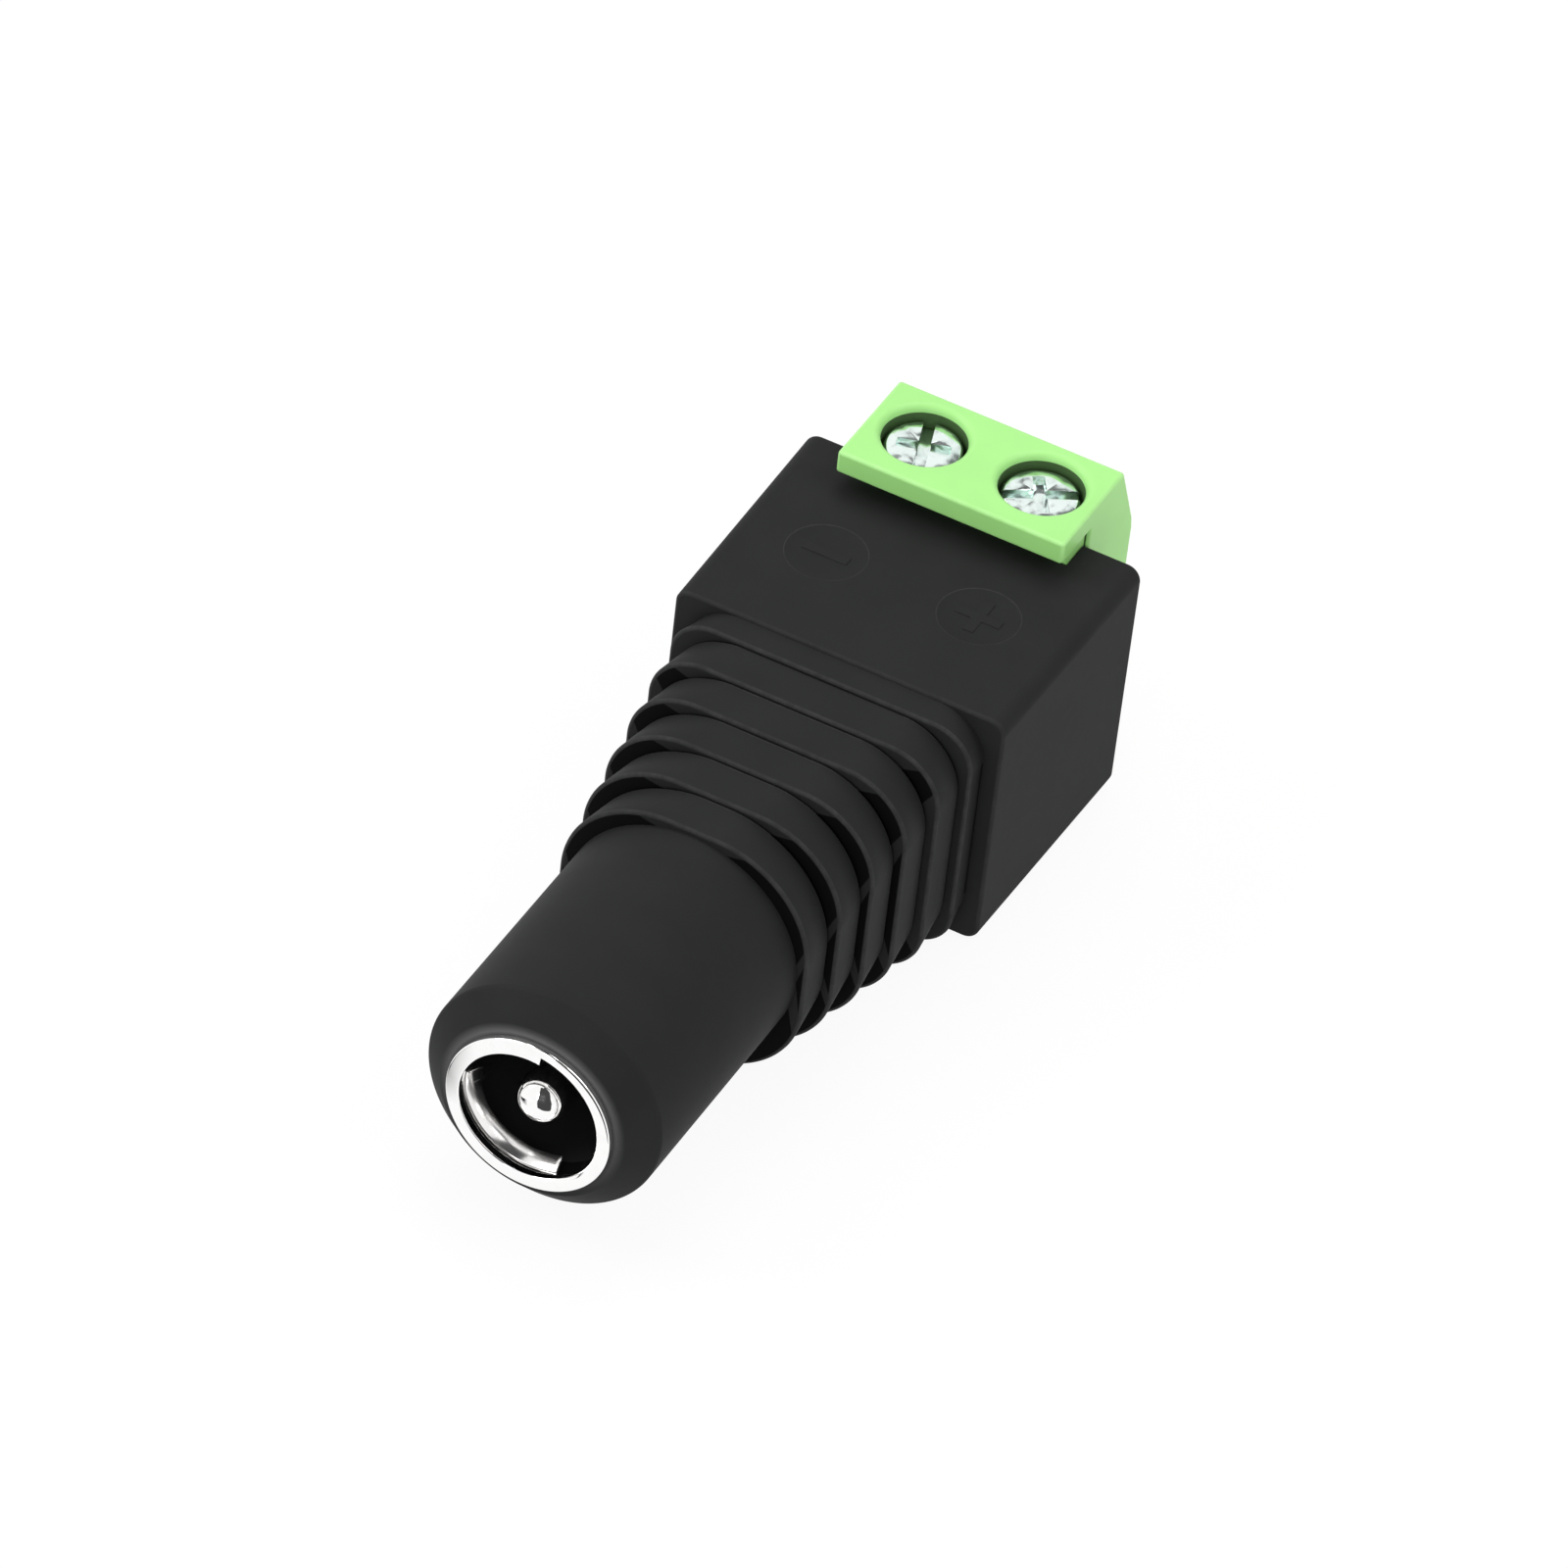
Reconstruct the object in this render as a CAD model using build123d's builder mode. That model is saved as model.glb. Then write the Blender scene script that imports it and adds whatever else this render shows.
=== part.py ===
from build123d import *
import os
from math import cos, radians, sin

os.makedirs("parts", exist_ok=True)

# Barrel jack socket with a two-way screw terminal, in millimetres.
# The origin is the centre of the socket's mouth face. Plugs leave along -Y, the terminal is at +Y, +Z is up.

# Clearances
seat_clearance = 0.05
thread_clearance = 0.04
pin_clearance = 0.03

# Round barrel and its nose
bore_radius = 3.25
barrel_wall = 1.57
nose_wall = 0.50
nose_length = 1.01
nose_round = 0.30

# Socket insert
lip_height = 0.30
lip_overlap = 0.135
lip_reach = 0.43
crest_inset = 0.09
crest_width = 0.18
ring_wall = 0.27
ring_length = 1.30
seam_depth = 0.22
seam_shift = 0.30
core_length = 10.70
core_wall = 0.27
core_floor = 1.80
centre_pin_radius = 1.00
centre_pin_recess = 0.40
centre_pin_collar = 0.45
centre_pin_collar_length = 0.40
rivet_radius = 0.60
rivet_head_radius = 0.95
rivet_head_length = 0.30
washer_radius = 1.15
washer_thickness = 0.30

# Spring contact for the plug's sleeve
spring_flare = 0.30
spring_thickness = 0.15
spring_front = 0.46
spring_width = 0.62
spring_start_angle = 172.0
spring_end_angle = 272.0
spring_tab_length = 1.10
spring_tab_turn = 16.0
stem_width = 1.00
stem_overrun = 2.40

# Stepped grip between barrel and box
first_rib_y = 11.68
rib_count = 6
rib_pitch = 2.04
last_rib_length = 1.32
first_rib_rise = 0.37
last_rib_inset = 0.59
first_rib_flat = 1.09
last_rib_flat = 3.59
rib_top_inset = 0.06
rib_bottom_inset = 0.10
rib_side_taper = 0.12
rib_top_taper = 0.08
rib_corner_growth = 0.30
rib_edge = 0.12

# Box
box_length = 10.95
box_rise = 0.32
box_drop = 0.88
box_draft = 0.20
box_corner = 0.62
box_rear_round = 0.22
box_front_round = 0.15
side_wall = 2.51
top_wall = 1.00
chamber_side_play = 0.70
chamber_rise = 0.05
chamber_corner = 2.20
mark_radius = 1.60
mark_spacing = 6.48
mark_setback = 4.98
mark_depth = 0.06

# Terminal block
terminal_pitch = 5.00
pole_margin = 2.32
block_rise = 1.75
block_height = 10.24
side_lip = 0.22
lip_clear = 0.74
front_lip = 1.00
cap_reach = 2.45
top_reach = 2.62
rear_reach = 4.15
shoulder_drop = 3.12
shoulder_step = 0.12
shoulder_step_drop = 0.55
body_reach = 4.00
block_edge = 0.16
well_clearance = 0.16
well_edge = 0.30
screw_setback = 0.28

# Screws, clamps and wire entries
head_sink = 0.55
head_radius = 1.52
head_height = 0.80
head_edge = 0.12
slot_width = 0.48
slot_depth = 0.42
cross_length = 2.10
shank_radius = 1.25
shank_chamfer = 0.25
screw_shoulder = 0.65
wire_opening = 2.20
travel_clearance = 0.10
clamp_wall = 0.40
clamp_roof = 1.00
clamp_floor = 0.80
clamp_depth = 3.40
clamp_corner = 0.35
clamp_clearance = 0.06
groove_count = 3
groove_width = 0.30
groove_depth = 0.15
entry_corner = 0.45
entry_flare = 0.40

# Contact bars
bar_thickness = 0.60
bar_width = 2.00
bar_lead_width = 1.40
bar_tip_gap = 0.10
bar_plate_thickness = 0.50
bar_plate_reach = 1.25
bar_slot_play = 0.05

screw_turns = {"left": 108.0, "right": 32.0}

# Levels and stations that follow from the sizes above
nose_radius = bore_radius + nose_wall
barrel_radius = bore_radius + barrel_wall
box_top = barrel_radius + box_rise
box_bottom = -(barrel_radius + box_drop)
lip_outer_radius = bore_radius + lip_overlap
lip_inner_radius = bore_radius - lip_reach
lip_flat_outer = bore_radius - crest_inset
lip_flat_inner = lip_flat_outer - crest_width
ring_outer_radius = bore_radius - pin_clearance
ring_inner_radius = ring_outer_radius - ring_wall
spring_radius = ring_inner_radius - seat_clearance - spring_thickness - spring_flare
core_front = ring_length
core_rear = core_front + core_length
core_outer_radius = bore_radius - pin_clearance
core_inner_radius = core_outer_radius - core_wall
chamber_half_width = (terminal_pitch + bar_width) / 2 + chamber_side_play
chamber_half_height = bore_radius + chamber_rise
box_front = first_rib_y + (rib_count - 1) * rib_pitch + last_rib_length
box_rear = box_front + box_length

block_half_width = terminal_pitch / 2 + pole_margin
body_half_width = block_half_width - side_lip
pocket_half_width = body_half_width + seat_clearance
box_rear_half_width = pocket_half_width + side_wall
box_front_half_width = box_rear_half_width - box_draft
pocket_top = box_top - top_wall
body_top = pocket_top - seat_clearance
block_top = box_top + block_rise
block_bottom = block_top - block_height
lip_bottom = box_top + lip_clear

cap_front = box_rear - cap_reach
neck_front = cap_front + front_lip
block_rear = box_rear + rear_reach
screw_y = box_rear + screw_setback
body_front = screw_y - body_reach

head_top = block_top - head_sink
head_bottom = head_top - head_height
well_radius = head_radius + well_clearance
shaft_hole_radius = shank_radius + seat_clearance
cell_top = head_bottom - screw_shoulder
clamp_half_width = shank_radius + seat_clearance + clamp_wall
cell_half_width = clamp_half_width + clamp_clearance
cell_half_depth = clamp_depth / 2 + clamp_clearance
roof_bottom = cell_top - travel_clearance - clamp_roof - wire_opening
bar_top = roof_bottom - travel_clearance
bar_bottom = bar_top - bar_thickness
floor_top = bar_bottom - seat_clearance - wire_opening
shank_bottom = bar_top + seat_clearance


def section(y):
    """Plane across the part at y, drawn as X and Z."""
    return Plane.XZ.offset(-y)


def rib_values(index):
    """Half width, top, bottom and corner radius of one rib's front outline."""
    share = index / (rib_count - 1)
    first_half_width = barrel_radius + first_rib_rise
    last_half_width = box_front_half_width - last_rib_inset
    half_width = first_half_width + share * (last_half_width - first_half_width)
    top = box_top - rib_top_inset
    bottom = box_bottom + rib_bottom_inset
    flat = first_rib_flat + share * (last_rib_flat - first_rib_flat)
    corner = (top - bottom) / 2 - flat
    return half_width, top, bottom, corner


# Housing: one black moulding with barrel, stepped grip and box
with BuildPart() as housing:
    with BuildSketch(Plane.XY.offset(box_bottom)):
        with BuildLine():
            Polyline(
                (-box_front_half_width, box_front),
                (box_front_half_width, box_front),
                (box_rear_half_width, box_rear),
                (-box_rear_half_width, box_rear),
                close=True,
            )
        make_face()
    extrude(amount=box_top - box_bottom)
    long_edges = housing.edges().filter_by(lambda e: e.bounding_box().size.Y > box_length / 2)
    fillet(long_edges, box_corner)
    fillet(housing.faces().sort_by(Axis.Y)[-1].edges(), box_rear_round)
    fillet(housing.faces().sort_by(Axis.Y)[0].edges(), box_front_round)

    for index in range(rib_count):
        half_width, top, bottom, corner = rib_values(index)
        rib_front = first_rib_y + index * rib_pitch
        rib_length = rib_pitch if index < rib_count - 1 else last_rib_length
        stations = (
            (rib_front, rib_edge, rib_edge, corner - rib_edge),
            (rib_front + rib_edge, 0, 0, corner),
            (rib_front + rib_length, rib_side_taper, rib_top_taper, corner + rib_corner_growth),
        )
        for y, side_inset, top_inset, station_corner in stations:
            with BuildSketch(section(y)):
                with Locations((0, (top + bottom) / 2)):
                    RectangleRounded(
                        2 * (half_width - side_inset), top - bottom - 2 * top_inset, station_corner
                    )
        loft(ruled=True)

    with BuildSketch(Plane.XY) as barrel_profile:
        with BuildLine():
            Polyline(
                (0, lip_height),
                (nose_radius, lip_height),
                (barrel_radius, lip_height + nose_length),
                (barrel_radius, first_rib_y + rib_pitch / 2),
                (0, first_rib_y + rib_pitch / 2),
                close=True,
            )
        make_face()
        nose_corners = barrel_profile.vertices().filter_by(lambda v: v.X > 0 and v.Y < first_rib_y)
        fillet(nose_corners, nose_round)
    revolve(axis=Axis.Y)

    # Socket bore, open chamber behind it and the pocket for the terminal block
    with BuildSketch(section(lip_height)):
        Circle(bore_radius)
    extrude(amount=-(core_rear - lip_height), mode=Mode.SUBTRACT)
    with BuildSketch(section(core_rear)):
        RectangleRounded(2 * chamber_half_width, 2 * chamber_half_height, chamber_corner)
    extrude(amount=-(body_front - core_rear), mode=Mode.SUBTRACT)
    pocket_bottom = block_bottom - seat_clearance
    with BuildSketch(section(body_front - seat_clearance)):
        with Locations((0, (pocket_top + pocket_bottom) / 2)):
            Rectangle(2 * pocket_half_width, pocket_top - pocket_bottom)
    extrude(amount=-(box_rear - body_front + seat_clearance), mode=Mode.SUBTRACT)
    notch_front = neck_front - seat_clearance
    with BuildSketch(Plane.XY.offset(pocket_top)):
        with Locations((0, (notch_front + box_rear) / 2)):
            Rectangle(2 * pocket_half_width, box_rear - notch_front)
    extrude(amount=top_wall, mode=Mode.SUBTRACT)

    # Sunk round fields for the two polarity signs
    with BuildSketch(Plane.XY.offset(box_top)):
        with Locations((0, box_front + mark_setback)):
            with GridLocations(mark_spacing, 0, 2, 1):
                Circle(mark_radius)
    extrude(amount=-mark_depth, mode=Mode.SUBTRACT)
housing.part.label = "housing"

# Mouth ring: nickel-plated lip that stands proud of the nose, with the step of its rolled seam
with BuildPart() as mouth_ring:
    with BuildSketch(Plane.XY) as ring_profile:
        with BuildLine():
            outer = Line((ring_outer_radius, ring_length), (ring_outer_radius, lip_height))
            under = Line(outer @ 1, (lip_outer_radius, lip_height))
            RadiusArc(under @ 1, (lip_flat_outer, 0), lip_height * 1.15)
            face = Line((lip_flat_outer, 0), (lip_flat_inner, 0))
            RadiusArc(face @ 1, (lip_inner_radius, lip_height * 0.8), lip_height * 0.9)
            throat = Line((lip_inner_radius, lip_height * 0.8), (lip_inner_radius, lip_height * 1.1))
            Line(throat @ 1, (ring_inner_radius, lip_height * 1.4))
            Line((ring_inner_radius, lip_height * 1.4), (ring_inner_radius, ring_length))
            Line((ring_inner_radius, ring_length), outer @ 0)
        make_face()
    revolve(axis=Axis.Y)
    with BuildSketch(section(-seam_depth)) as seam_sketch:
        with Locations((seam_shift / 6, seam_shift)):
            Circle(lip_inner_radius)
        with Locations((-lip_outer_radius, 0)):
            Rectangle(2 * lip_outer_radius, 4 * lip_outer_radius, mode=Mode.SUBTRACT)
    extrude(amount=-2 * seam_depth, mode=Mode.SUBTRACT)
mouth_ring.part.label = "mouth_ring"

# Jack core: black insulating cup that lines the bore and carries the centre pin
with BuildPart() as jack_core:
    with BuildSketch(section(core_front)):
        Circle(core_outer_radius)
    extrude(amount=-core_length)
    with BuildSketch(section(core_front)):
        Circle(core_inner_radius)
    extrude(amount=-(core_length - core_floor), mode=Mode.SUBTRACT)
    floor_front = core_rear - core_floor
    with BuildSketch(section(floor_front)):
        Circle(rivet_radius + pin_clearance)
        with Locations((-(spring_radius + spring_thickness / 2), 0)):
            Rectangle(spring_thickness + 2 * seat_clearance, stem_width + 2 * seat_clearance)
    extrude(amount=-core_floor, mode=Mode.SUBTRACT)
jack_core.part.label = "jack_core"

# Centre pin: domed tip, collar seated on the core's floor, riveted tail
plate_rear = core_rear + bar_plate_thickness
washer_rear = plate_rear + washer_thickness
with BuildPart() as centre_pin:
    with BuildSketch(Plane.XY) as pin_profile:
        with BuildLine():
            Polyline(
                (0, centre_pin_recess),
                (centre_pin_radius, centre_pin_recess),
                (centre_pin_radius, floor_front - centre_pin_collar_length),
                (centre_pin_radius + centre_pin_collar, floor_front - centre_pin_collar_length),
                (centre_pin_radius + centre_pin_collar, floor_front),
                (rivet_radius, floor_front),
                (rivet_radius, washer_rear),
                (rivet_head_radius, washer_rear),
                (rivet_head_radius, washer_rear + rivet_head_length),
                (0, washer_rear + rivet_head_length),
                close=True,
            )
        make_face()
        tip_corner = pin_profile.vertices().sort_by(Axis.Y)[0:2].sort_by(Axis.X)[-1]
        fillet(tip_corner, centre_pin_radius - 0.12)
        tail_corner = pin_profile.vertices().sort_by(Axis.Y)[-2:].sort_by(Axis.X)[-1]
        fillet(tail_corner, rivet_head_length * 0.7)
    revolve(axis=Axis.Y)
centre_pin.part.label = "centre_pin"

with BuildPart() as pin_washer:
    with BuildSketch(section(plate_rear)):
        Circle(washer_radius)
        Circle(rivet_radius + pin_clearance, mode=Mode.SUBTRACT)
    extrude(amount=-washer_thickness)
pin_washer.part.label = "pin_washer"

# Sleeve spring: flared strip inside the mouth with a bent end, on a stem through the core's floor
stem_rear = core_rear + stem_overrun
strip_middle = spring_radius + (spring_flare + spring_thickness) / 2
strip_rear = spring_front + spring_width


def strip_plane(angle, turn=0.0):
    """Plane through the strip at an angle round the mouth, drawn as the distance from its middle and Y."""
    middle = (strip_middle * cos(radians(angle)), 0, strip_middle * sin(radians(angle)))
    facing = radians(angle + turn)
    return Plane(origin=middle, x_dir=(cos(facing), 0, sin(facing)), z_dir=(-sin(facing), 0, cos(facing)))


strip_corners = [
    (spring_radius + spring_flare - strip_middle, spring_front),
    (spring_radius + spring_flare + spring_thickness - strip_middle, spring_front),
    (spring_radius + spring_thickness - strip_middle, strip_rear),
    (spring_radius - strip_middle, strip_rear),
]
with BuildPart() as sleeve_spring:
    with BuildSketch(strip_plane(spring_start_angle)):
        with BuildLine():
            Polyline(*strip_corners, close=True)
        make_face()
    revolve(axis=Axis((0, 0, 0), (0, -1, 0)), revolution_arc=spring_end_angle - spring_start_angle)
    with BuildSketch(strip_plane(spring_end_angle, spring_tab_turn).offset(-spring_thickness / 2)):
        with BuildLine():
            Polyline(*strip_corners, close=True)
        make_face()
    extrude(amount=spring_tab_length + spring_thickness / 2)
    stem_front = strip_rear - spring_width / 3
    with BuildSketch(section(stem_front)):
        with Locations((-(spring_radius + spring_thickness / 2), 0)):
            Rectangle(spring_thickness, stem_width)
    extrude(amount=-(stem_rear - stem_front))
sleeve_spring.part.label = "sleeve_spring"

# Terminal block: green moulding with a sloped rear shoulder and a cap that overhangs the housing's roof
with BuildPart() as terminal_block:
    with BuildSketch(Plane.YZ):
        with BuildLine():
            Polyline(
                (cap_front, lip_bottom),
                (cap_front, block_top),
                (box_rear + top_reach, block_top),
                (block_rear - shoulder_step, block_top - shoulder_drop),
                (block_rear, block_top - shoulder_drop - shoulder_step_drop),
                (block_rear, block_bottom),
                (box_rear, block_bottom),
                (box_rear, lip_bottom),
                close=True,
            )
        make_face()
    extrude(amount=block_half_width, both=True)
    top_edges = terminal_block.faces().sort_by(Axis.Z)[-1].edges()
    fillet(top_edges, block_edge)
    with BuildSketch(Plane.YZ):
        with BuildLine():
            Polyline(
                (body_front, block_bottom),
                (body_front, body_top),
                (neck_front, body_top),
                (neck_front, lip_bottom),
                (box_rear, lip_bottom),
                (box_rear, block_bottom),
                close=True,
            )
        make_face()
    extrude(amount=body_half_width, both=True)

    with BuildSketch(Plane.XY.offset(block_top)):
        with Locations((0, screw_y)):
            with GridLocations(terminal_pitch, 0, 2, 1):
                Circle(well_radius)
    extrude(amount=-(block_top - head_bottom), mode=Mode.SUBTRACT)
    rim_edges = (
        terminal_block.edges()
        .filter_by(GeomType.CIRCLE)
        .filter_by(lambda e: abs(e.center().Z - block_top) < 0.01 and abs(e.radius - well_radius) < 0.01)
    )
    fillet(rim_edges, well_edge)
    with BuildSketch(Plane.XY.offset(head_bottom)):
        with Locations((0, screw_y)):
            with GridLocations(terminal_pitch, 0, 2, 1):
                Circle(shaft_hole_radius)
    extrude(amount=-screw_shoulder, mode=Mode.SUBTRACT)
    with BuildSketch(Plane.XY.offset(block_bottom)):
        with Locations((0, screw_y)):
            with GridLocations(terminal_pitch, 0, 2, 1):
                Rectangle(2 * cell_half_width, 2 * cell_half_depth)
    extrude(amount=cell_top - block_bottom, mode=Mode.SUBTRACT)

    entry_height = bar_bottom - floor_top
    entry_half_width = clamp_half_width - clamp_wall
    entry_middle = (bar_bottom + floor_top) / 2
    with BuildSketch(section(block_rear)):
        with Locations((0, entry_middle)):
            with GridLocations(terminal_pitch, 0, 2, 1):
                RectangleRounded(2 * entry_half_width, entry_height, entry_corner)
    extrude(amount=block_rear - screw_y, mode=Mode.SUBTRACT)
    entry_edges = (
        terminal_block.faces()
        .filter_by(Axis.Y)
        .sort_by(Axis.Y)[-1]
        .inner_wires()
        .edges()
    )
    fillet(entry_edges, entry_flare)
    with BuildSketch(section(body_front)):
        with Locations((0, (bar_top + bar_bottom) / 2)):
            with GridLocations(terminal_pitch, 0, 2, 1):
                Rectangle(bar_width + 2 * bar_slot_play, bar_thickness + 2 * bar_slot_play)
    extrude(amount=-(screw_y - body_front), mode=Mode.SUBTRACT)
terminal_block.part.label = "terminal_block"


def make_terminal_screw(side, x):
    """Terminal screw with a slot and a short cross slot in its round head."""
    place = Plane((x, screw_y, 0))
    with BuildPart() as screw:
        with BuildSketch(Plane((x, screw_y, head_bottom))):
            Circle(head_radius)
        extrude(amount=head_height)
        chamfer(screw.faces().sort_by(Axis.Z)[-1].edges(), head_edge)
        with BuildSketch(Plane((x, screw_y, shank_bottom))):
            Circle(shank_radius)
        extrude(amount=head_bottom - shank_bottom)
        chamfer(screw.faces().sort_by(Axis.Z)[0].edges(), shank_chamfer)
        with BuildSketch(place.offset(head_top - slot_depth)):
            Rectangle(3 * head_radius, slot_width, rotation=screw_turns[side])
            Rectangle(cross_length, slot_width, rotation=screw_turns[side] + 90)
        extrude(amount=slot_depth, mode=Mode.SUBTRACT)
    return screw.part


def make_clamp_cage(x):
    """Rising clamp: square tube with a threaded roof and a grooved floor."""
    floor_bottom = floor_top - clamp_floor
    roof_top = roof_bottom + clamp_roof
    clamp_front = screw_y - clamp_depth / 2
    with BuildPart() as cage:
        with BuildSketch(section(clamp_front)):
            with Locations((x, (roof_top + floor_bottom) / 2)):
                RectangleRounded(2 * clamp_half_width, roof_top - floor_bottom, clamp_corner)
            with Locations((x, (roof_bottom + floor_top) / 2)):
                Rectangle(2 * (clamp_half_width - clamp_wall), roof_bottom - floor_top, mode=Mode.SUBTRACT)
        extrude(amount=-clamp_depth)
        with BuildSketch(Plane((x, screw_y, roof_top))):
            Circle(shank_radius + thread_clearance)
        extrude(amount=-clamp_roof, mode=Mode.SUBTRACT)
        groove_spacing = clamp_depth / (groove_count + 1)
        with BuildSketch(Plane((x, screw_y, floor_top))):
            with GridLocations(0, groove_spacing, 1, groove_count):
                Rectangle(2 * (clamp_half_width - clamp_wall), groove_width)
        extrude(amount=-groove_depth, mode=Mode.SUBTRACT)
    return cage.part


pole_x = {"left": -terminal_pitch / 2, "right": terminal_pitch / 2}
for side, x in pole_x.items():
    screw = make_terminal_screw(side, x)
    screw.label = f"{side}_terminal_screw"
    export_step(screw, f"parts/{side}_terminal_screw.step")
    cage = make_clamp_cage(x)
    cage.label = f"{side}_clamp_cage"
    export_step(cage, f"parts/{side}_clamp_cage.step")

# Contact bars: flat tongues through the clamps, led forward to the spring's stem and to the pin's rivet
bar_rear = screw_y + cell_half_depth - bar_tip_gap
left_lead_x = (bar_width - terminal_pitch - bar_lead_width) / 2
lead_front = core_rear + bar_plate_thickness
with BuildPart() as left_contact_bar:
    with BuildSketch(Plane.XY.offset(bar_bottom)):
        with Locations((-terminal_pitch / 2, (bar_rear + body_front) / 2)):
            Rectangle(bar_width, bar_rear - body_front)
        with Locations((left_lead_x, (lead_front + body_front) / 2)):
            Rectangle(bar_lead_width, body_front - lead_front)
    extrude(amount=bar_thickness)
    with BuildSketch(Plane.YZ.offset(-spring_radius)):
        with BuildLine():
            Polyline(
                (lead_front, bar_top),
                (lead_front, -stem_width / 2),
                (stem_rear, -stem_width / 2),
                (stem_rear, bar_top),
                close=True,
            )
        make_face()
    extrude(amount=bar_plate_thickness)
left_contact_bar.part.label = "left_contact_bar"

with BuildPart() as right_contact_bar:
    with BuildSketch(Plane.XY.offset(bar_bottom)):
        with Locations((terminal_pitch / 2, (bar_rear + body_front) / 2)):
            Rectangle(bar_width, bar_rear - body_front)
        with Locations((terminal_pitch / 2, (core_rear + body_front) / 2)):
            Rectangle(bar_lead_width, body_front - core_rear)
    extrude(amount=bar_thickness)
    plate_side = terminal_pitch / 2 + bar_lead_width / 2
    with BuildSketch(section(core_rear)):
        with BuildLine():
            Polyline(
                (plate_side, bar_top),
                (-bar_plate_reach, bar_top),
                (-bar_plate_reach, -bar_plate_reach),
                (bar_plate_reach, -bar_plate_reach),
                (plate_side, bar_bottom),
                close=True,
            )
        make_face()
        Circle(rivet_radius + pin_clearance, mode=Mode.SUBTRACT)
    extrude(amount=-bar_plate_thickness)
right_contact_bar.part.label = "right_contact_bar"

export_step(housing.part, "parts/housing.step")
export_step(mouth_ring.part, "parts/mouth_ring.step")
export_step(jack_core.part, "parts/jack_core.step")
export_step(centre_pin.part, "parts/centre_pin.step")
export_step(pin_washer.part, "parts/pin_washer.step")
export_step(sleeve_spring.part, "parts/sleeve_spring.step")
export_step(terminal_block.part, "parts/terminal_block.step")
export_step(left_contact_bar.part, "parts/left_contact_bar.step")
export_step(right_contact_bar.part, "parts/right_contact_bar.step")
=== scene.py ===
"""Looks of the barrel jack adaptor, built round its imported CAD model. Sizes are in millimetres."""

import logging
import math
from collections.abc import Sequence
from dataclasses import dataclass, field
from enum import Enum
from typing import Any

import bmesh
import bpy
from mathutils import Matrix, Vector


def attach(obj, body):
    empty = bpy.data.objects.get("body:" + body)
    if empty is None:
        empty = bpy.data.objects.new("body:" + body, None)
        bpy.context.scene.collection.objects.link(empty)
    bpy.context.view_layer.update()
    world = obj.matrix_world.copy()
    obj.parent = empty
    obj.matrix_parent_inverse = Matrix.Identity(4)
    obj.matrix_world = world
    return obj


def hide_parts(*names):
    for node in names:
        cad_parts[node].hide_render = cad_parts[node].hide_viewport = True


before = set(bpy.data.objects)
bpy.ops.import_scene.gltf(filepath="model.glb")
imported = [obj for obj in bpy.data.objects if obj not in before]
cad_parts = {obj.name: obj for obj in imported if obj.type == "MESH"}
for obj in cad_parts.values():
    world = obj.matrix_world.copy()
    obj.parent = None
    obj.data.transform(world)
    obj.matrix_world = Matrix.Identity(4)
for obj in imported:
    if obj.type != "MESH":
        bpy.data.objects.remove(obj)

log = logging.getLogger("barrel_jack")

Colour = tuple[float, float, float]
Place = tuple[float, float, float]
Point = tuple[float, float]
Ring = Sequence[Vector]
Shape = bmesh.types.BMesh
Piece = bpy.types.Object
Finish = bpy.types.Material

# A millimetre in metres, and the facets of a full turn
MM = 0.001
AROUND = 192
WHITE = (1.0, 1.0, 1.0, 1.0)

# Points nearer than this are one, in a mesh and in a Geometry Nodes tree
WELD = 1e-5
TREE_WELD = 1e-3

# How far a cutter runs past a face, and a joined block into its neighbour
OVERRUN = 0.5

# What keeps two faces of joined blocks from lying in one plane
HAIR = 0.001

# Places that several sub-assemblies share
POLE_PITCH = 5.0
SCREW_Y = 34.43
HEAD_BOTTOM = 5.54
CORE_REAR = 12.0


class Side(Enum):
    """The two poles of the terminal, with the sign of their X."""

    LEFT = -1
    RIGHT = 1

    @property
    def label(self) -> str:
        """The side's name as the CAD nodes have it."""
        return self.name.lower()

    @property
    def x(self) -> float:
        """X of the pole's screw."""
        return self.value * POLE_PITCH / 2

    @property
    def axis(self) -> Vector:
        """A point on the axis of the pole's screw."""
        return Vector((self.x, SCREW_Y, 0.0))


class Spindle(Enum):
    """The axis that a turned piece is turned about."""

    SOCKET = "Y"
    SCREW = "Z"


# Node trees


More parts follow.
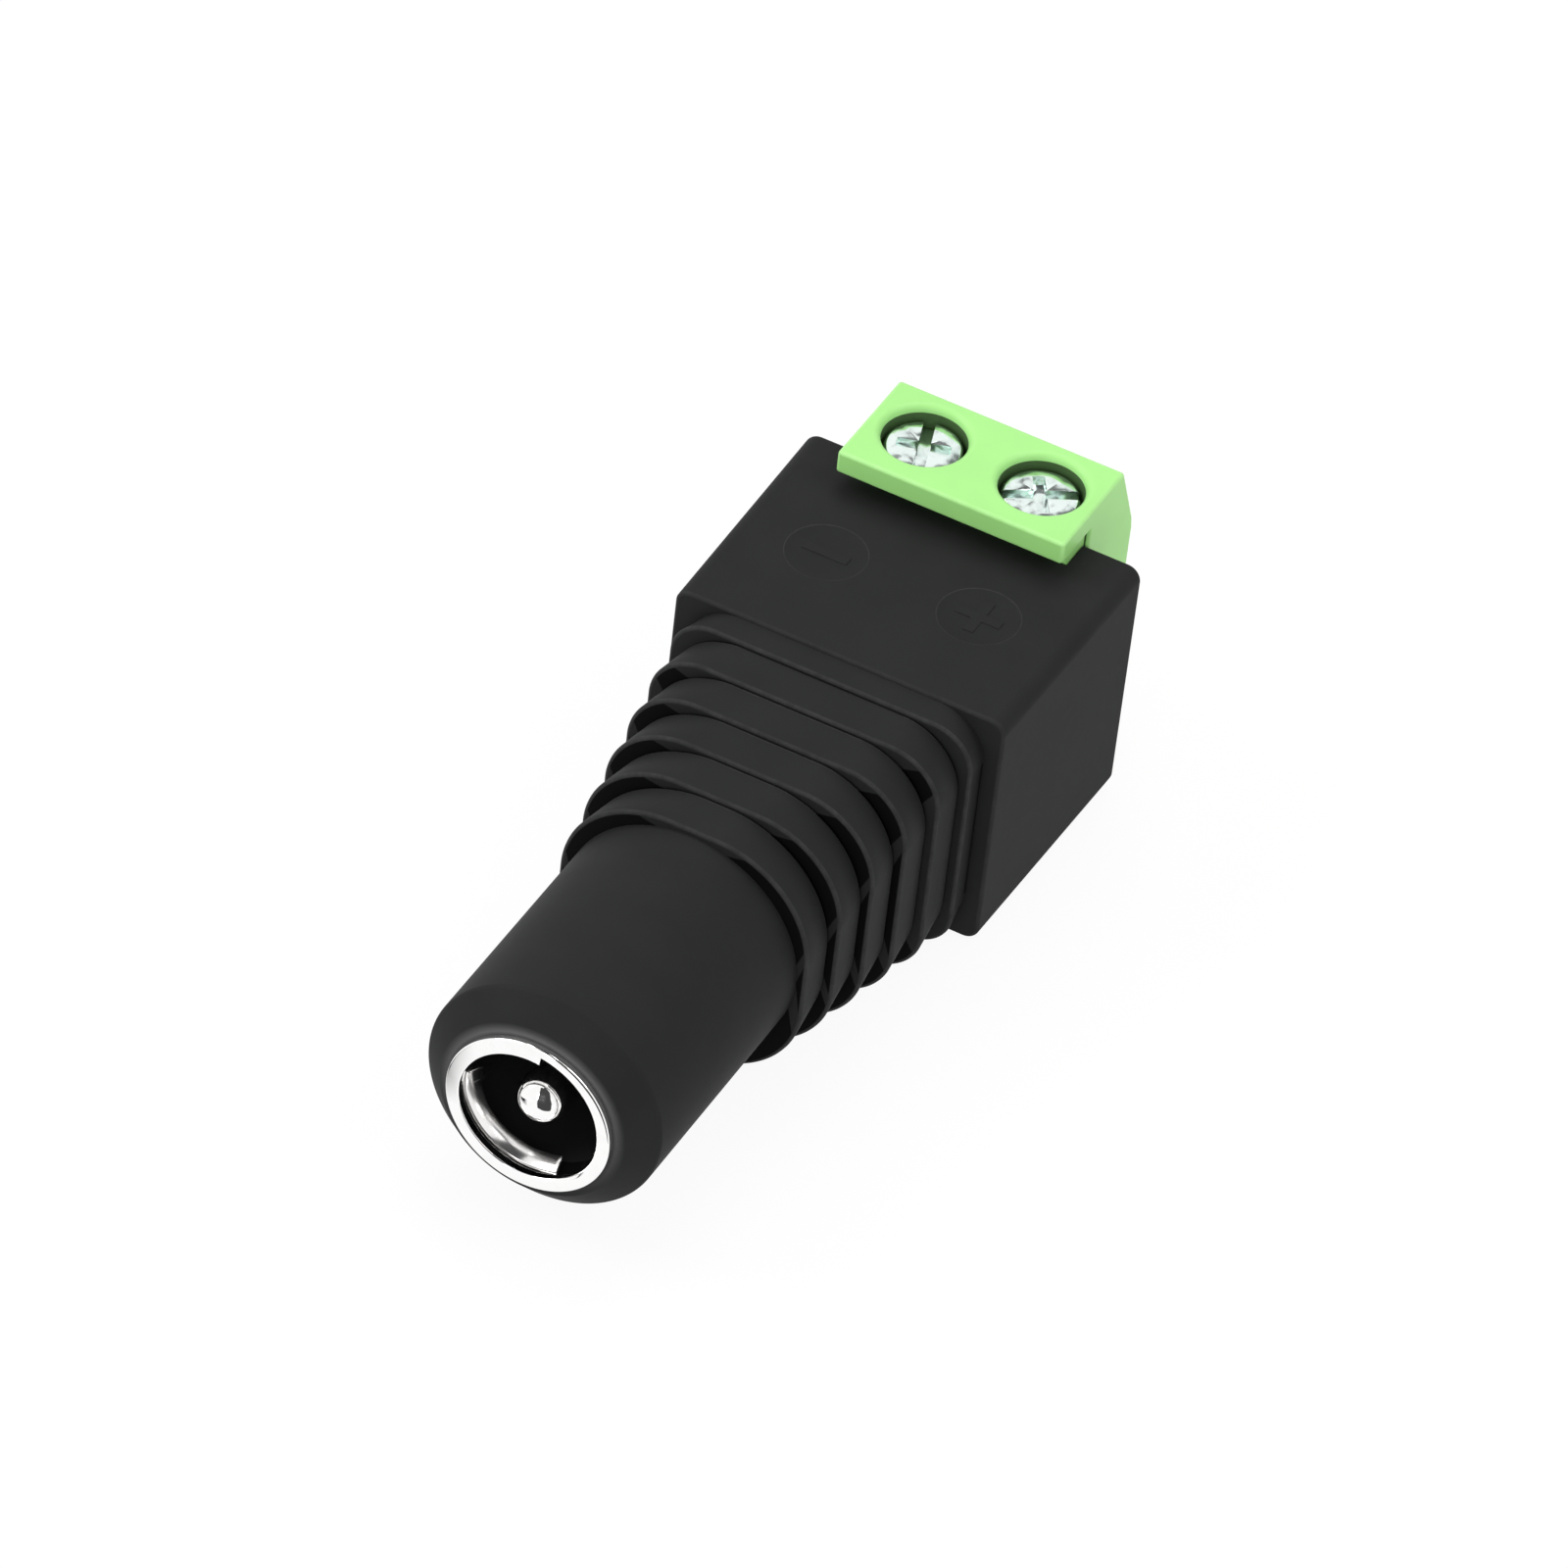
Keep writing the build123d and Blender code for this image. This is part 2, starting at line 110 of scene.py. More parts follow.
class Wire:
    """A node's output that takes part in Python arithmetic, each step adding a Math node."""

    def __init__(self, tree: "Tree", socket: bpy.types.NodeSocket | None) -> None:
        """Keeps the tree and the output, which is None on a node that ends its tree."""
        self.tree = tree
        self.socket = socket

    def output(self, name: str) -> "Wire":
        """Another output of the same node."""
        return Wire(self.tree, self.socket.node.outputs[name])

    def math(self, operation: str, *others: Any) -> "Wire":
        """This value and the others through one Math node."""
        return self.tree.math(operation, self, *others)

    def __add__(self, other: Any) -> "Wire":
        """Sum."""
        return self.math("ADD", other)

    __radd__ = __add__

    def __sub__(self, other: Any) -> "Wire":
        """Difference."""
        return self.math("SUBTRACT", other)

    def __rsub__(self, other: Any) -> "Wire":
        """Difference with this value taken away."""
        return self.tree.math("SUBTRACT", other, self)

    def __mul__(self, other: Any) -> "Wire":
        """Product."""
        return self.math("MULTIPLY", other)

    __rmul__ = __mul__

    def __truediv__(self, other: Any) -> "Wire":
        """Quotient."""
        return self.math("DIVIDE", other)

    def __rtruediv__(self, other: Any) -> "Wire":
        """Quotient with this value below."""
        return self.tree.math("DIVIDE", other, self)

    def __mod__(self, other: Any) -> "Wire":
        """Remainder, never negative."""
        return self.math("FLOORED_MODULO", other)

    def clamped(self) -> "Wire":
        """The value held between 0 and 1."""
        return self.math("MAXIMUM", 0.0).math("MINIMUM", 1.0)

    def between(self, low: float, high: float) -> "Wire":
        """0 at low, 1 at high, and held there outside."""
        return ((self - low) / (high - low)).clamped()


class Tree:
    """A node tree that is written as expressions."""

    def __init__(self, tree: bpy.types.NodeTree) -> None:
        """Keeps the tree."""
        self.tree = tree

    def add(
        self, kind: str, settings: dict[str, Any] | None = None, inputs: dict[Any, Any] | None = None
    ) -> Wire:
        """Adds one node.

        Args:
            kind: The node's type.
            settings: The node's own settings, set before its sockets.
            inputs: Socket name or number to a value or a wire.

        Returns:
            The node's first enabled output.
        """
        node = self.tree.nodes.new(kind)
        for name, value in (settings or {}).items():
            setattr(node, name, value)
        for key, value in (inputs or {}).items():
            if isinstance(value, Wire):
                self.tree.links.new(value.socket, node.inputs[key])
            else:
                node.inputs[key].default_value = value
        return Wire(self, next((socket for socket in node.outputs if socket.enabled), None))

    def math(self, operation: str, *values: Any) -> Wire:
        """One Math node on up to three values."""
        return self.add("ShaderNodeMath", {"operation": operation}, dict(enumerate(values)))

    def vector(self, x: Any, y: Any, z: Any) -> Wire:
        """A vector from three values."""
        return self.add("ShaderNodeCombineXYZ", None, {0: x, 1: y, 2: z})

    def blend(self, factor: Any, first: Any, second: Any) -> Wire:
        """A colour between two colours."""
        return self.add("ShaderNodeMix", {"data_type": "RGBA"}, {0: factor, 6: first, 7: second})

    def seen(self) -> Wire:
        """1 for a ray that shows the surface itself, its mirror image or a view through glass, else 0."""
        path = self.add("ShaderNodeLightPath")
        straight, mirrored = path.output("Is Camera Ray"), path.output("Is Glossy Ray")
        return (straight + mirrored + path.output("Is Transmission Ray")).clamped()


class ShapeTree(Tree):
    """A Geometry Nodes tree with named inputs, ended by Realize Instances and Set Material."""

    KINDS = {int: "NodeSocketInt", float: "NodeSocketFloat", Finish: "NodeSocketMaterial"}

    def __init__(self, name: str, values: dict[str, Any], finish: Finish) -> None:
        """Makes the tree's inputs.

        Args:
            name: The tree's name.
            values: Input name to its value, whole numbers or sizes.
            finish: The material that Set Material gives.
        """
        super().__init__(bpy.data.node_groups.new(name, "GeometryNodeTree"))
        self.values = {**values, "Finish": finish}
        self.sockets: dict[str, str] = {}
        for label, value in self.values.items():
            kind = next(kind for base, kind in self.KINDS.items() if isinstance(value, base))
            socket = self.tree.interface.new_socket(name=label, in_out="INPUT", socket_type=kind)
            self.sockets[label] = socket.identifier
        self.tree.interface.new_socket(name="Geometry", in_out="OUTPUT", socket_type="NodeSocketGeometry")
        self.group_input = self.add("NodeGroupInput")

    def value(self, label: str) -> Wire:
        """The wire of a named input."""
        return self.group_input.output(label)

    def grid(self, rows: Any, columns: Any) -> tuple[Wire, Wire, Wire]:
        """A grid whose points know their row and column.

        Args:
            rows: Number of rows.
            columns: Number of columns.

        Returns:
            The grid, and each point's row and column number.
        """
        grid = self.add(
            "GeometryNodeMeshGrid",
            None,
            {"Size X": rows - 1, "Size Y": columns - 1, "Vertices X": rows, "Vertices Y": columns},
        )
        place = self.add("ShaderNodeSeparateXYZ", None, {0: self.add("GeometryNodeInputPosition")})
        row = (place + (rows - 1) / 2).math("ROUND")
        column = (place.output("Y") + (columns - 1) / 2).math("ROUND")
        return grid, row, column

    def moved(self, grid: Wire, x: Wire, y: Wire, z: Wire) -> Wire:
        """The grid with its points at that place, in millimetres."""
        place = self.vector(x * MM, y * MM, z * MM)
        return self.add("GeometryNodeSetPosition", None, {"Geometry": grid, "Position": place})

    def finished(self, name: str, shape: Wire) -> Piece:
        """Ends the tree, runs it once and bakes its result.

        Args:
            name: Name of the new object.
            shape: The shape, which is welded, realized and given its material.

        Returns:
            A plain mesh object.
        """
        welded = self.add(
            "GeometryNodeMergeByDistance", None, {"Geometry": shape, "Distance": TREE_WELD * MM}
        )
        real = self.add("GeometryNodeRealizeInstances", None, {"Geometry": welded})
        finish = {"Geometry": real, "Material": self.value("Finish")}
        self.add("NodeGroupOutput", None, {"Geometry": self.add("GeometryNodeSetMaterial", None, finish)})
        obj = new_object(name, bpy.data.meshes.new(name))
        modifier = obj.modifiers.new("shape", "NODES")
        modifier.node_group = self.tree
        for label, value in self.values.items():
            modifier[self.sockets[label]] = value
        return baked(obj)


# Mesh making


def new_object(name: str, mesh: bpy.types.Mesh) -> Piece:
    """An object of that mesh, in the scene."""
    obj = bpy.data.objects.new(name, mesh)
    bpy.context.scene.collection.objects.link(obj)
    return obj


def baked(obj: Piece) -> Piece:
    """Turns the object's modifiers into its plain mesh."""
    evaluated = obj.evaluated_get(bpy.context.evaluated_depsgraph_get())
    mesh = bpy.data.meshes.new_from_object(evaluated)
    obj.modifiers.clear()
    obj.data = mesh
    return obj


def from_bmesh(name: str, shape: Shape) -> Piece:
    """An object from a closed shape in millimetres, with its faces turned outwards."""
    bmesh.ops.remove_doubles(shape, verts=shape.verts, dist=WELD)
    bmesh.ops.recalc_face_normals(shape, faces=shape.faces)
    bmesh.ops.scale(shape, vec=(MM, MM, MM), verts=shape.verts)
    mesh = bpy.data.meshes.new(name)
    shape.to_mesh(mesh)
    shape.free()
    return new_object(name, mesh)


def flip_outwards(obj: Piece) -> None:
    """Turns a closed piece's faces outwards."""
    shape = bmesh.new()
    shape.from_mesh(obj.data)
    bmesh.ops.recalc_face_normals(shape, faces=shape.faces)
    shape.to_mesh(obj.data)
    shape.free()


def skin(shape: Shape, rings: Sequence[Ring], start_cap: bool = True, end_cap: bool = True) -> None:
    """Adds faces between rings of the same count.

    Args:
        shape: The shape that grows.
        rings: Rings of points in order.
        start_cap: Closes the first ring.
        end_cap: Closes the last ring.
    """
    rows = [[shape.verts.new(point) for point in ring] for ring in rings]
    for first, second in zip(rows, rows[1:]):
        for k in range(len(first)):
            n = (k + 1) % len(first)
            shape.faces.new((first[k], second[k], second[n], first[n]))
    if start_cap:
        shape.faces.new(rows[0])
    if end_cap:
        shape.faces.new(rows[-1])


def lofted(name: str, rings: Sequence[Ring], capped: bool = True) -> Piece:
    """A piece skinned over rings, closed at its two ends unless it closes on itself."""
    shape = bmesh.new()
    skin(shape, rings, start_cap=capped, end_cap=capped)
    return from_bmesh(name, shape)


def round_steps(count: int) -> list[Point]:
    """Cosine and sine of that many even steps round a circle, the first of them half a step on."""
    turns = [2 * math.pi * (k + 0.5) / count for k in range(count)]
    return [(math.cos(turn), math.sin(turn)) for turn in turns]


def quarter_round(radius: float, steps: int) -> list[Point]:
    """A quarter round as pairs of run and rest: the run grows from 0 to the radius, the rest shrinks to 0."""
    swings = [step / steps * math.pi / 2 for step in range(steps + 1)]
    return [(radius * (1 - math.cos(swing)), radius * (1 - math.sin(swing))) for swing in swings]


def arm(turn: float) -> Vector:
    """A unit vector across the barrel, at that angle from +X towards +Z."""
    return Vector((math.cos(turn), 0.0, math.sin(turn)))


def rounded_ring(
    y: float, half_width: float, half_height: float, corner: float, centre: Point = (0.0, 0.0)
) -> list[Vector]:
    """Points of a rounded rectangle across the part, or of a circle where all three sizes are alike.

    Args:
        y: Where along the part.
        half_width: Half its size in X.
        half_height: Half its size in Z.
        corner: Corner radius.
        centre: X and Z of its centre.

    Returns:
        The points, anticlockwise seen from the mouth.
    """
    points = []
    for c, s in round_steps(AROUND):
        x = centre[0] + math.copysign(half_width - corner, c) + corner * c
        z = centre[1] + math.copysign(half_height - corner, s) + corner * s
        points.append(Vector((x, y, z)))
    return points


def rounded_path(points: Sequence[Place], steps: int = 6) -> list[Point]:
    """A path of straight runs with its corners rounded.

    Args:
        points: First value, second value and corner radius of each point.
        steps: Runs that each rounded corner gets.

    Returns:
        The path's points.
    """
    path: list[Point] = []
    for index, (a, b, radius) in enumerate(points):
        here = Vector((a, b))
        if radius <= 0 or index in (0, len(points) - 1):
            path.append((a, b))
            continue
        before = (Vector(points[index - 1][:2]) - here).normalized()
        after = (Vector(points[index + 1][:2]) - here).normalized()
        half = before.angle(after) / 2
        reach = radius / math.tan(half)
        centre = here + (before + after).normalized() * (radius / math.sin(half))
        start = here + before * reach - centre
        end = here + after * reach - centre
        for step in range(steps + 1):
            spoke = start.slerp(end, step / steps).normalized() * radius
            path.append((centre + spoke)[:])
    return path


def turned(
    name: str, path: Sequence[Point], spindle: Spindle, centre: Vector = Vector(), around: int = AROUND
) -> Piece:
    """A closed turned piece.

    Args:
        name: Name of the new object.
        path: Radius and height of each step. Off the axis, its last step joins its first.
        spindle: The axis that it turns about.
        centre: A point on that axis.
        around: Facets round it.

    Returns:
        The new object.
    """
    rings = []
    for radius, height in path:
        spokes = [(radius * c, radius * s) for c, s in round_steps(around)]
        if spindle is Spindle.SOCKET:
            rings.append([centre + Vector((a, height, b)) for a, b in spokes])
        else:
            rings.append([centre + Vector((a, b, height)) for a, b in spokes])
    if path[0][0] > 0:
        rings.append(rings[0])
    return lofted(name, rings, capped=False)


def rod(
    name: str,
    radius: float,
    low: float,
    high: float,
    spindle: Spindle,
    centre: Vector = Vector(),
    around: int = AROUND,
) -> Piece:
    """A plain rod for cutting.

    Args:
        name: Name of the new object.
        radius: Its radius.
        low: Where it starts along its axis.
        high: Where it ends.
        spindle: The direction of its axis.
        centre: A point on that axis.
        around: Facets round it.

    Returns:
        The new object.
    """
    return turned(name, [(0.0, low), (radius, low), (radius, high), (0.0, high)], spindle, centre, around)


def prism(name: str, outline: Sequence[Point], low: float, high: float) -> Piece:
    """A prism across the part.

    Args:
        name: Name of the new object.
        outline: Y and Z of its corners.
        low: Its lowest X.
        high: Its highest X.

    Returns:
        The new object.
    """
    return lofted(name, [[Vector((x, y, z)) for y, z in outline] for x in (low, high)])


def block(name: str, low: Sequence[float], high: Sequence[float]) -> Piece:
    """A plain box between two corners, for cutting and joining."""
    outline = [(low[1], low[2]), (high[1], low[2]), (high[1], high[2]), (low[1], high[2])]
    return prism(name, outline, low[0], high[0])


def combined(obj: Piece, others: Sequence[Piece], operation: str = "DIFFERENCE") -> Piece:
    """Cuts or joins the others into the object, one after another, and removes them."""
    for other in others:
        modifier = obj.modifiers.new("combine", "BOOLEAN")
        modifier.operation = operation
        modifier.solver = "EXACT"
        modifier.object = other
        baked(obj)
        bpy.data.objects.remove(other)
    return obj


def softened(obj: Piece, width: float, segments: int, angle: float) -> Piece:
    """Rounds the object's edges that are sharper than the angle, in degrees."""
    modifier = obj.modifiers.new("soften", "BEVEL")
    modifier.width = width * MM
    modifier.segments = segments
    modifier.limit_method = "ANGLE"
    modifier.angle_limit = math.radians(angle)
    return baked(obj)


@dataclass(frozen=True)
class EdgeMarks:
    """Marks outward edges as "edge", for a paler worn edge with a painted glint, and inward corners as
    "hollow", for painted shade, in the finishes.

    Lengths are in millimetres and angles in degrees. Only a face that is short across such an edge takes its
    value, so that wide faces stay clean. A shaded face deeper than a narrow step is shaded all over, because
    little light gets into it.
    """

    worn_glint_reach: float = 0.30
    shaded_reach: float = 1.20
    largest_area: float = 1.50
    least_step: float = 0.07
    least_bend: float = 7.0
    full_bend: float = 27.0
    shallow: float = 0.25
    deep: float = 0.45

    def _corner(self, loop: bmesh.types.BMLoop) -> tuple[float, float, float]:
        """Measures the two edges at a face's corner.

        Args:
            loop: The corner.

        Returns:
            The sharpest outward bend, the sharpest inward bend, and how much of the whole face is shaded.
        """
        outward, inward, whole_face = 0.0, 0.0, 0.0
        sides = (loop.edge, loop.link_loop_prev.edge)
        for edge, across in (sides, sides[::-1]):
            if len(edge.link_faces) != 2:
                continue
            bend = math.degrees(edge.calc_face_angle_signed(0.0))
            run = across.calc_length() / MM
            if bend > 0:
                if run < self.worn_glint_reach:
                    outward = max(outward, bend)
                continue
            widths = [face.calc_area() / max(e.calc_length() for e in face.edges) for face in edge.link_faces]
            if run < self.shaded_reach and min(widths) > self.least_step * MM:
                inward = max(inward, -bend)
                if -bend > self.full_bend:
                    depth = (run - self.shallow) / (self.deep - self.shallow)
                    whole_face = max(whole_face, min(1.0, depth))
        return outward, inward, whole_face

    def _share(self, bend: float) -> float:
        """How much a bend counts, from 0 to 1."""
        return min(1.0, max(0.0, (bend - self.least_bend) / (self.full_bend - self.least_bend)))

    def write(self, mesh: bpy.types.Mesh) -> None:
        """Gives the mesh the two attributes, face corner by face corner.

        Args:
            mesh: The mesh.
        """
        amounts: dict[str, list[float]] = {"edge": [], "hollow": []}
        shape = bmesh.new()
        shape.from_mesh(mesh)
        for face in shape.faces:
            is_small = face.calc_area() < self.largest_area * MM * MM
            corners = [self._corner(loop) if is_small else (0.0, 0.0, 0.0) for loop in face.loops]
            whole_face = max(corner[2] for corner in corners)
            for outward, inward, _ in corners:
                amounts["edge"].append(self._share(outward) * (1.0 - whole_face))
                amounts["hollow"].append(max(self._share(inward), whole_face))
        shape.free()
        for name, values in amounts.items():
            mesh.attributes.new(name, "FLOAT", "CORNER").data.foreach_set("value", values)


def dressed(
    obj: Piece,
    body: str,
    finish: Finish,
    stands_for: Sequence[str],
    smooth_angle: float = 32.0,
) -> Piece:
    """Finishes a piece, parents it to an empty for its CAD body and hides the CAD nodes that it replaces.

    Args:
        obj: The piece.
        body: CAD body that it rides on.
        finish: Its material.
        stands_for: CAD nodes that it replaces.
        smooth_angle: Edges sharper than this stay crisp.

    Returns:
        The piece.
    """
    mesh = obj.data
    mesh.materials.clear()
    mesh.materials.append(finish)
    mesh.shade_smooth()
    mesh.set_sharp_from_angle(angle=math.radians(smooth_angle))
    EdgeMarks().write(mesh)
    modifier = obj.modifiers.new("normals", "WEIGHTED_NORMAL")
    modifier.keep_sharp = True
    modifier.weight = 100
    baked(obj)
    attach(obj, body)
    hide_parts(*stands_for)
    log.info("%s: %d faces on %s", obj.name, len(obj.data.polygons), body)
    return obj


# Finishes


def opaque(colour: Colour, share: float = 1.0) -> tuple[float, ...]:
    """The colour at that share of its brightness, with full alpha."""
    return (*(v * share for v in colour), 1.0)


class Surface(Tree):
    """A material's tree, with what every finish of this object uses."""

    def __init__(self, name: str) -> None:
        """Makes the material and clears it."""
        self.material = bpy.data.materials.new(name)
        self.material.use_nodes = True
        super().__init__(self.material.node_tree)
        self.tree.nodes.clear()
        self.place = self.add("ShaderNodeTexCoord").output("Object")

    def noise(self, size: float, detail: float, roughness: float = 0.55) -> Wire:
        """Noise from 0 to 1 whose lumps are about that size in millimetres."""
        inputs = {"Vector": self.place, "Scale": 1.0 / (size * MM), "Detail": detail, "Roughness": roughness}
        return self.add("ShaderNodeTexNoise", None, inputs)

    def from_axis(self, spindle: Spindle, centre: Place) -> Wire:
        """Distance from a turning axis.

        Args:
            spindle: The direction of the axis.
            centre: A point on it.

        Returns:
            The distance in millimetres.
        """
        flat = (1.0, 0.0, 1.0) if spindle is Spindle.SOCKET else (1.0, 1.0, 0.0)
        start = [v * MM for v in centre]
        shifted = self.add("ShaderNodeVectorMath", {"operation": "SUBTRACT"}, {0: self.place, 1: start})
        flattened = self.add("ShaderNodeVectorMath", {"operation": "MULTIPLY"}, {0: shifted, 1: flat})
        length = self.add("ShaderNodeVectorMath", {"operation": "LENGTH"}, {0: flattened})
        return length.output("Value") / MM

    def marked(self, name: str) -> Wire:
        """The amount that EdgeMarks wrote under that name."""
        return self.add("ShaderNodeAttribute", {"attribute_name": name}).output("Fac")

    def bump(self, height: Wire, depth: float) -> Wire:
        """A normal from a height between 0 and 1, where 1 is that many millimetres."""
        return self.add("ShaderNodeBump", None, {"Height": height, "Distance": depth * MM, "Strength": 1.0})

    def close(self, **sockets: Any) -> Finish:
        """Ends the tree in a Principled shader. Underscores in names stand for spaces."""
        names = {name.replace("_", " "): value for name, value in sockets.items()}
        shader = self.add("ShaderNodeBsdfPrincipled", None, names)
        self.add("ShaderNodeOutputMaterial", None, {"Surface": shader})
        return self.material


@dataclass(frozen=True)
class MouldedPlastic:
    """Injection-moulded plastic: fine grain, a little mottling, paler worn edges with a painted glint,
    painted shade in corners.
    """

    name: str
    colour: Colour
    worn_glint_colour: Colour
    roughness: float
    gloss: float
    mottling: float = 0.04
    cloud_size: float = 2.6
    speck_size: float = 0.5
    grain_size: float = 0.09
    grain_depth: float = 0.0010
    worn_glint_cover: float = 0.80
    shaded_cover: float = 0.95
    shaded_curve: float = 0.60
    shaded_share: float = 0.10
    collar_radius: float = 0.0
    collar_width: float = 0.32
    collar_front: float = 0.62
    collar_highlight_colour: Colour = (0.10, 0.10, 0.10)

    def _collar_highlight(self, surface: Surface) -> Wire:
        """A painted highlight on the moulding round the mouth, strongest at its top."""
        place = surface.add("ShaderNodeSeparateXYZ", None, {0: surface.place})
        depth, height = place.output("Y") / MM, place.output("Z") / MM
        radius = surface.from_axis(Spindle.SOCKET, (0.0, 0.0, 0.0))
        return (
            (radius - self.collar_radius).math("ABSOLUTE").between(self.collar_width, 0.0)
            * depth.between(self.collar_front, 0.7 * self.collar_front)
            * height.between(-self.collar_radius, self.collar_radius)
        )

    def material(self) -> Finish:
        """Makes the material."""
        surface = Surface(self.name)
        grain = surface.noise(self.grain_size, detail=2.0)
        cloud = surface.noise(self.cloud_size, detail=2.0)
        speck = surface.noise(self.speck_size, detail=4.0, roughness=0.7)
        worn_glint = (surface.marked("edge") * (0.35 + 0.65 * speck.between(0.35, 0.7))).clamped()
        shade = surface.marked("hollow").clamped().math("POWER", self.shaded_curve)
        deep, high = opaque(self.colour, 1 - self.mottling), opaque(self.colour, 1 + self.mottling)
        colour = surface.blend(cloud.between(0.35, 0.65), deep, high)
        # Paler edges: partly worn, partly a painted glint where light would catch them.
        colour = surface.blend(worn_glint * self.worn_glint_cover, colour, opaque(self.worn_glint_colour))
        colour = surface.blend(shade * self.shaded_cover, colour, opaque(self.colour, self.shaded_share))
        roughness = self.roughness + (speck - 0.5) * 0.06 - worn_glint * 0.06 + shade * 0.2
        # Where collar_radius is set: a painted highlight round the mouth, with the surface there a little
        # glossier.
        if self.collar_radius:
            collar = self._collar_highlight(surface)
            colour = surface.blend(collar, colour, opaque(self.collar_highlight_colour))
            roughness = roughness - collar * 0.2
        return surface.close(
            Base_Color=colour,
            Roughness=roughness.clamped(),
            Normal=surface.bump(grain, self.grain_depth),
            Specular_IOR_Level=self.gloss,
        )


@dataclass(frozen=True)
class PlatedMetal:
    """Plated metal: polished or satin, with fine lines where a tool turned it and dulled patches."""

    name: str
    colour: Colour
    dulled: Colour
    roughness: float
    spread: float
    spindle: Spindle = Spindle.SOCKET
    centre: Place = (0.0, 0.0, 0.0)
    patch_size: float = 0.90
    dulled_cover: float = 0.50
    fine_size: float = 0.12
    line_pitch: float = 0.07
    line_depth: float = 0.0003
    dent_size: float = 0.80
    dent_depth: float = 0.001

    def material(self) -> Finish:
        """Makes the material."""
        surface = Surface(self.name)
        patch = surface.noise(self.patch_size, detail=4.0, roughness=0.6)
        fine = surface.noise(self.fine_size, detail=2.0)
        radius = surface.from_axis(self.spindle, self.centre) + fine * 0.03
        lines = (radius * (2 * math.pi / self.line_pitch)).math("SINE") * 0.5 + 0.5
        dull = patch.between(0.5, 0.8)
        dents = surface.noise(self.dent_size, detail=1.0)
        colour = surface.blend(dull * self.dulled_cover, opaque(self.colour), opaque(self.dulled))
        roughness = self.roughness + dull * self.spread + (fine - 0.5) * 0.02
        height = (lines * 0.6 + fine * 0.4) * self.line_depth + dents * self.dent_depth
        return surface.close(
            Base_Color=colour,
            Metallic=1.0,
            Roughness=roughness.clamped(),
            Normal=surface.bump(height, 1.0),
        )


# Sub-assemblies


@dataclass
class Grip:
    """The six stepped ribs that grow from a round outline into a rounded rectangle."""

    first_front: float = 11.68
    pitch: float = 2.04
    count: int = 6
    last_length: float = 1.32
    first_half_width: float = 5.19
    last_half_width: float = 6.37
    top: float = 5.08
    bottom: float = -5.60
    first_flat: float = 1.09
    last_flat: float = 3.59
    edge: float = 0.14
    side_taper: float = 0.12
    top_taper: float = 0.08
    corner_growth: float = 0.30
    crease_run: float = 0.20
    crease_depth: float = 0.12
    edge_steps: int = 4

    @property
    def half_height(self) -> float:
        """Half the ribs' height."""
        return (self.top - self.bottom) / 2

    @property
    def middle(self) -> float:
        """The height of the ribs' middle."""
        return (self.top + self.bottom) / 2

    @property
    def rear(self) -> float:
        """Where the last rib ends."""
        return self.first_front + (self.count - 1) * self.pitch + self.last_length

    def front_ring(self) -> list[Vector]:
        """The first rib's front outline, inside its rounded edge."""
        half_width, half_height = self.first_half_width - self.edge, self.half_height - self.edge
        corner = self.half_height - self.first_flat - self.edge
        return rounded_ring(self.first_front, half_width, half_height, corner, (0.0, self.middle))

    def rear_ring(self) -> list[Vector]:
        """The last rib's rear outline."""
        half_width, half_height = self.last_half_width - self.side_taper, self.half_height - self.top_taper
        corner = self.half_height - self.last_flat + self.corner_growth
        return rounded_ring(self.rear, half_width, half_height, corner, (0.0, self.middle))

    def grown(self, finish: Finish) -> Piece:
        """Makes the ribs' skin with a Geometry Nodes tree.

        Args:
            finish: The material.

        Returns:
            An open skin from the barrel to the box.
        """
        sizes = {
            "Ribs": self.count,
            "Edge Steps": self.edge_steps,
            "Around": AROUND,
            "First Front": self.first_front,
            "Pitch": self.pitch,
            "Last Length": self.last_length,
            "First Half Width": self.first_half_width,
            "Last Half Width": self.last_half_width,
            "Half Height": self.half_height,
            "Middle": self.middle,
            "First Flat": self.first_flat,
            "Last Flat": self.last_flat,
            "Edge": self.edge,
            "Side Taper": self.side_taper,
            "Top Taper": self.top_taper,
            "Corner Growth": self.corner_growth,
            "Crease Run": self.crease_run,
            "Crease Depth": self.crease_depth,
        }
        tree = ShapeTree("grip_ribs", sizes, finish)
        size = tree.value
        steps, count = size("Edge Steps"), size("Ribs")
        per_rib = steps + 3
        grid, row, column = tree.grid(per_rib * count, size("Around") + 1)

        rib = (row / per_rib).math("FLOOR")
        share = rib / (count - 1)
        local = row - rib * per_rib
        is_rear = local.math("GREATER_THAN", steps + 0.5)
        is_crease = local.math("GREATER_THAN", steps + 1.5)
        is_last = rib.math("GREATER_THAN", count - 1.5)
        crease = is_crease * (1 - is_last) * size("Crease Depth")
        length = size("Pitch") + is_last * (size("Last Length") - size("Pitch"))
        length = length - (1 - is_crease) * size("Crease Run")
        swing = local.math("MINIMUM", steps) / steps * (math.pi / 2)
        edge = size("Edge") * (1 - is_rear)
        y = size("First Front") + rib * size("Pitch")
        y = y + edge * (1 - swing.math("COSINE")) + is_rear * length
        inset = edge * (1 - swing.math("SINE"))

        flat = size("First Flat") + share * (size("Last Flat") - size("First Flat"))
        width = size("First Half Width") + share * (size("Last Half Width") - size("First Half Width"))
        half_width = width - inset - is_rear * size("Side Taper") - crease
        half_height = size("Half Height") - inset - is_rear * size("Top Taper") - crease
        corner = size("Half Height") - flat - inset + is_rear * size("Corner Growth")

        turn = (column + 0.5) * (2 * math.pi) / size("Around")
        across, up = turn.math("COSINE"), turn.math("SINE")
        x = across.math("SIGN") * (half_width - corner) + corner * across
        z = size("Middle") + up.math("SIGN") * (half_height - corner) + corner * up
        return tree.finished("grip_skin", tree.moved(grid, x, y, z))


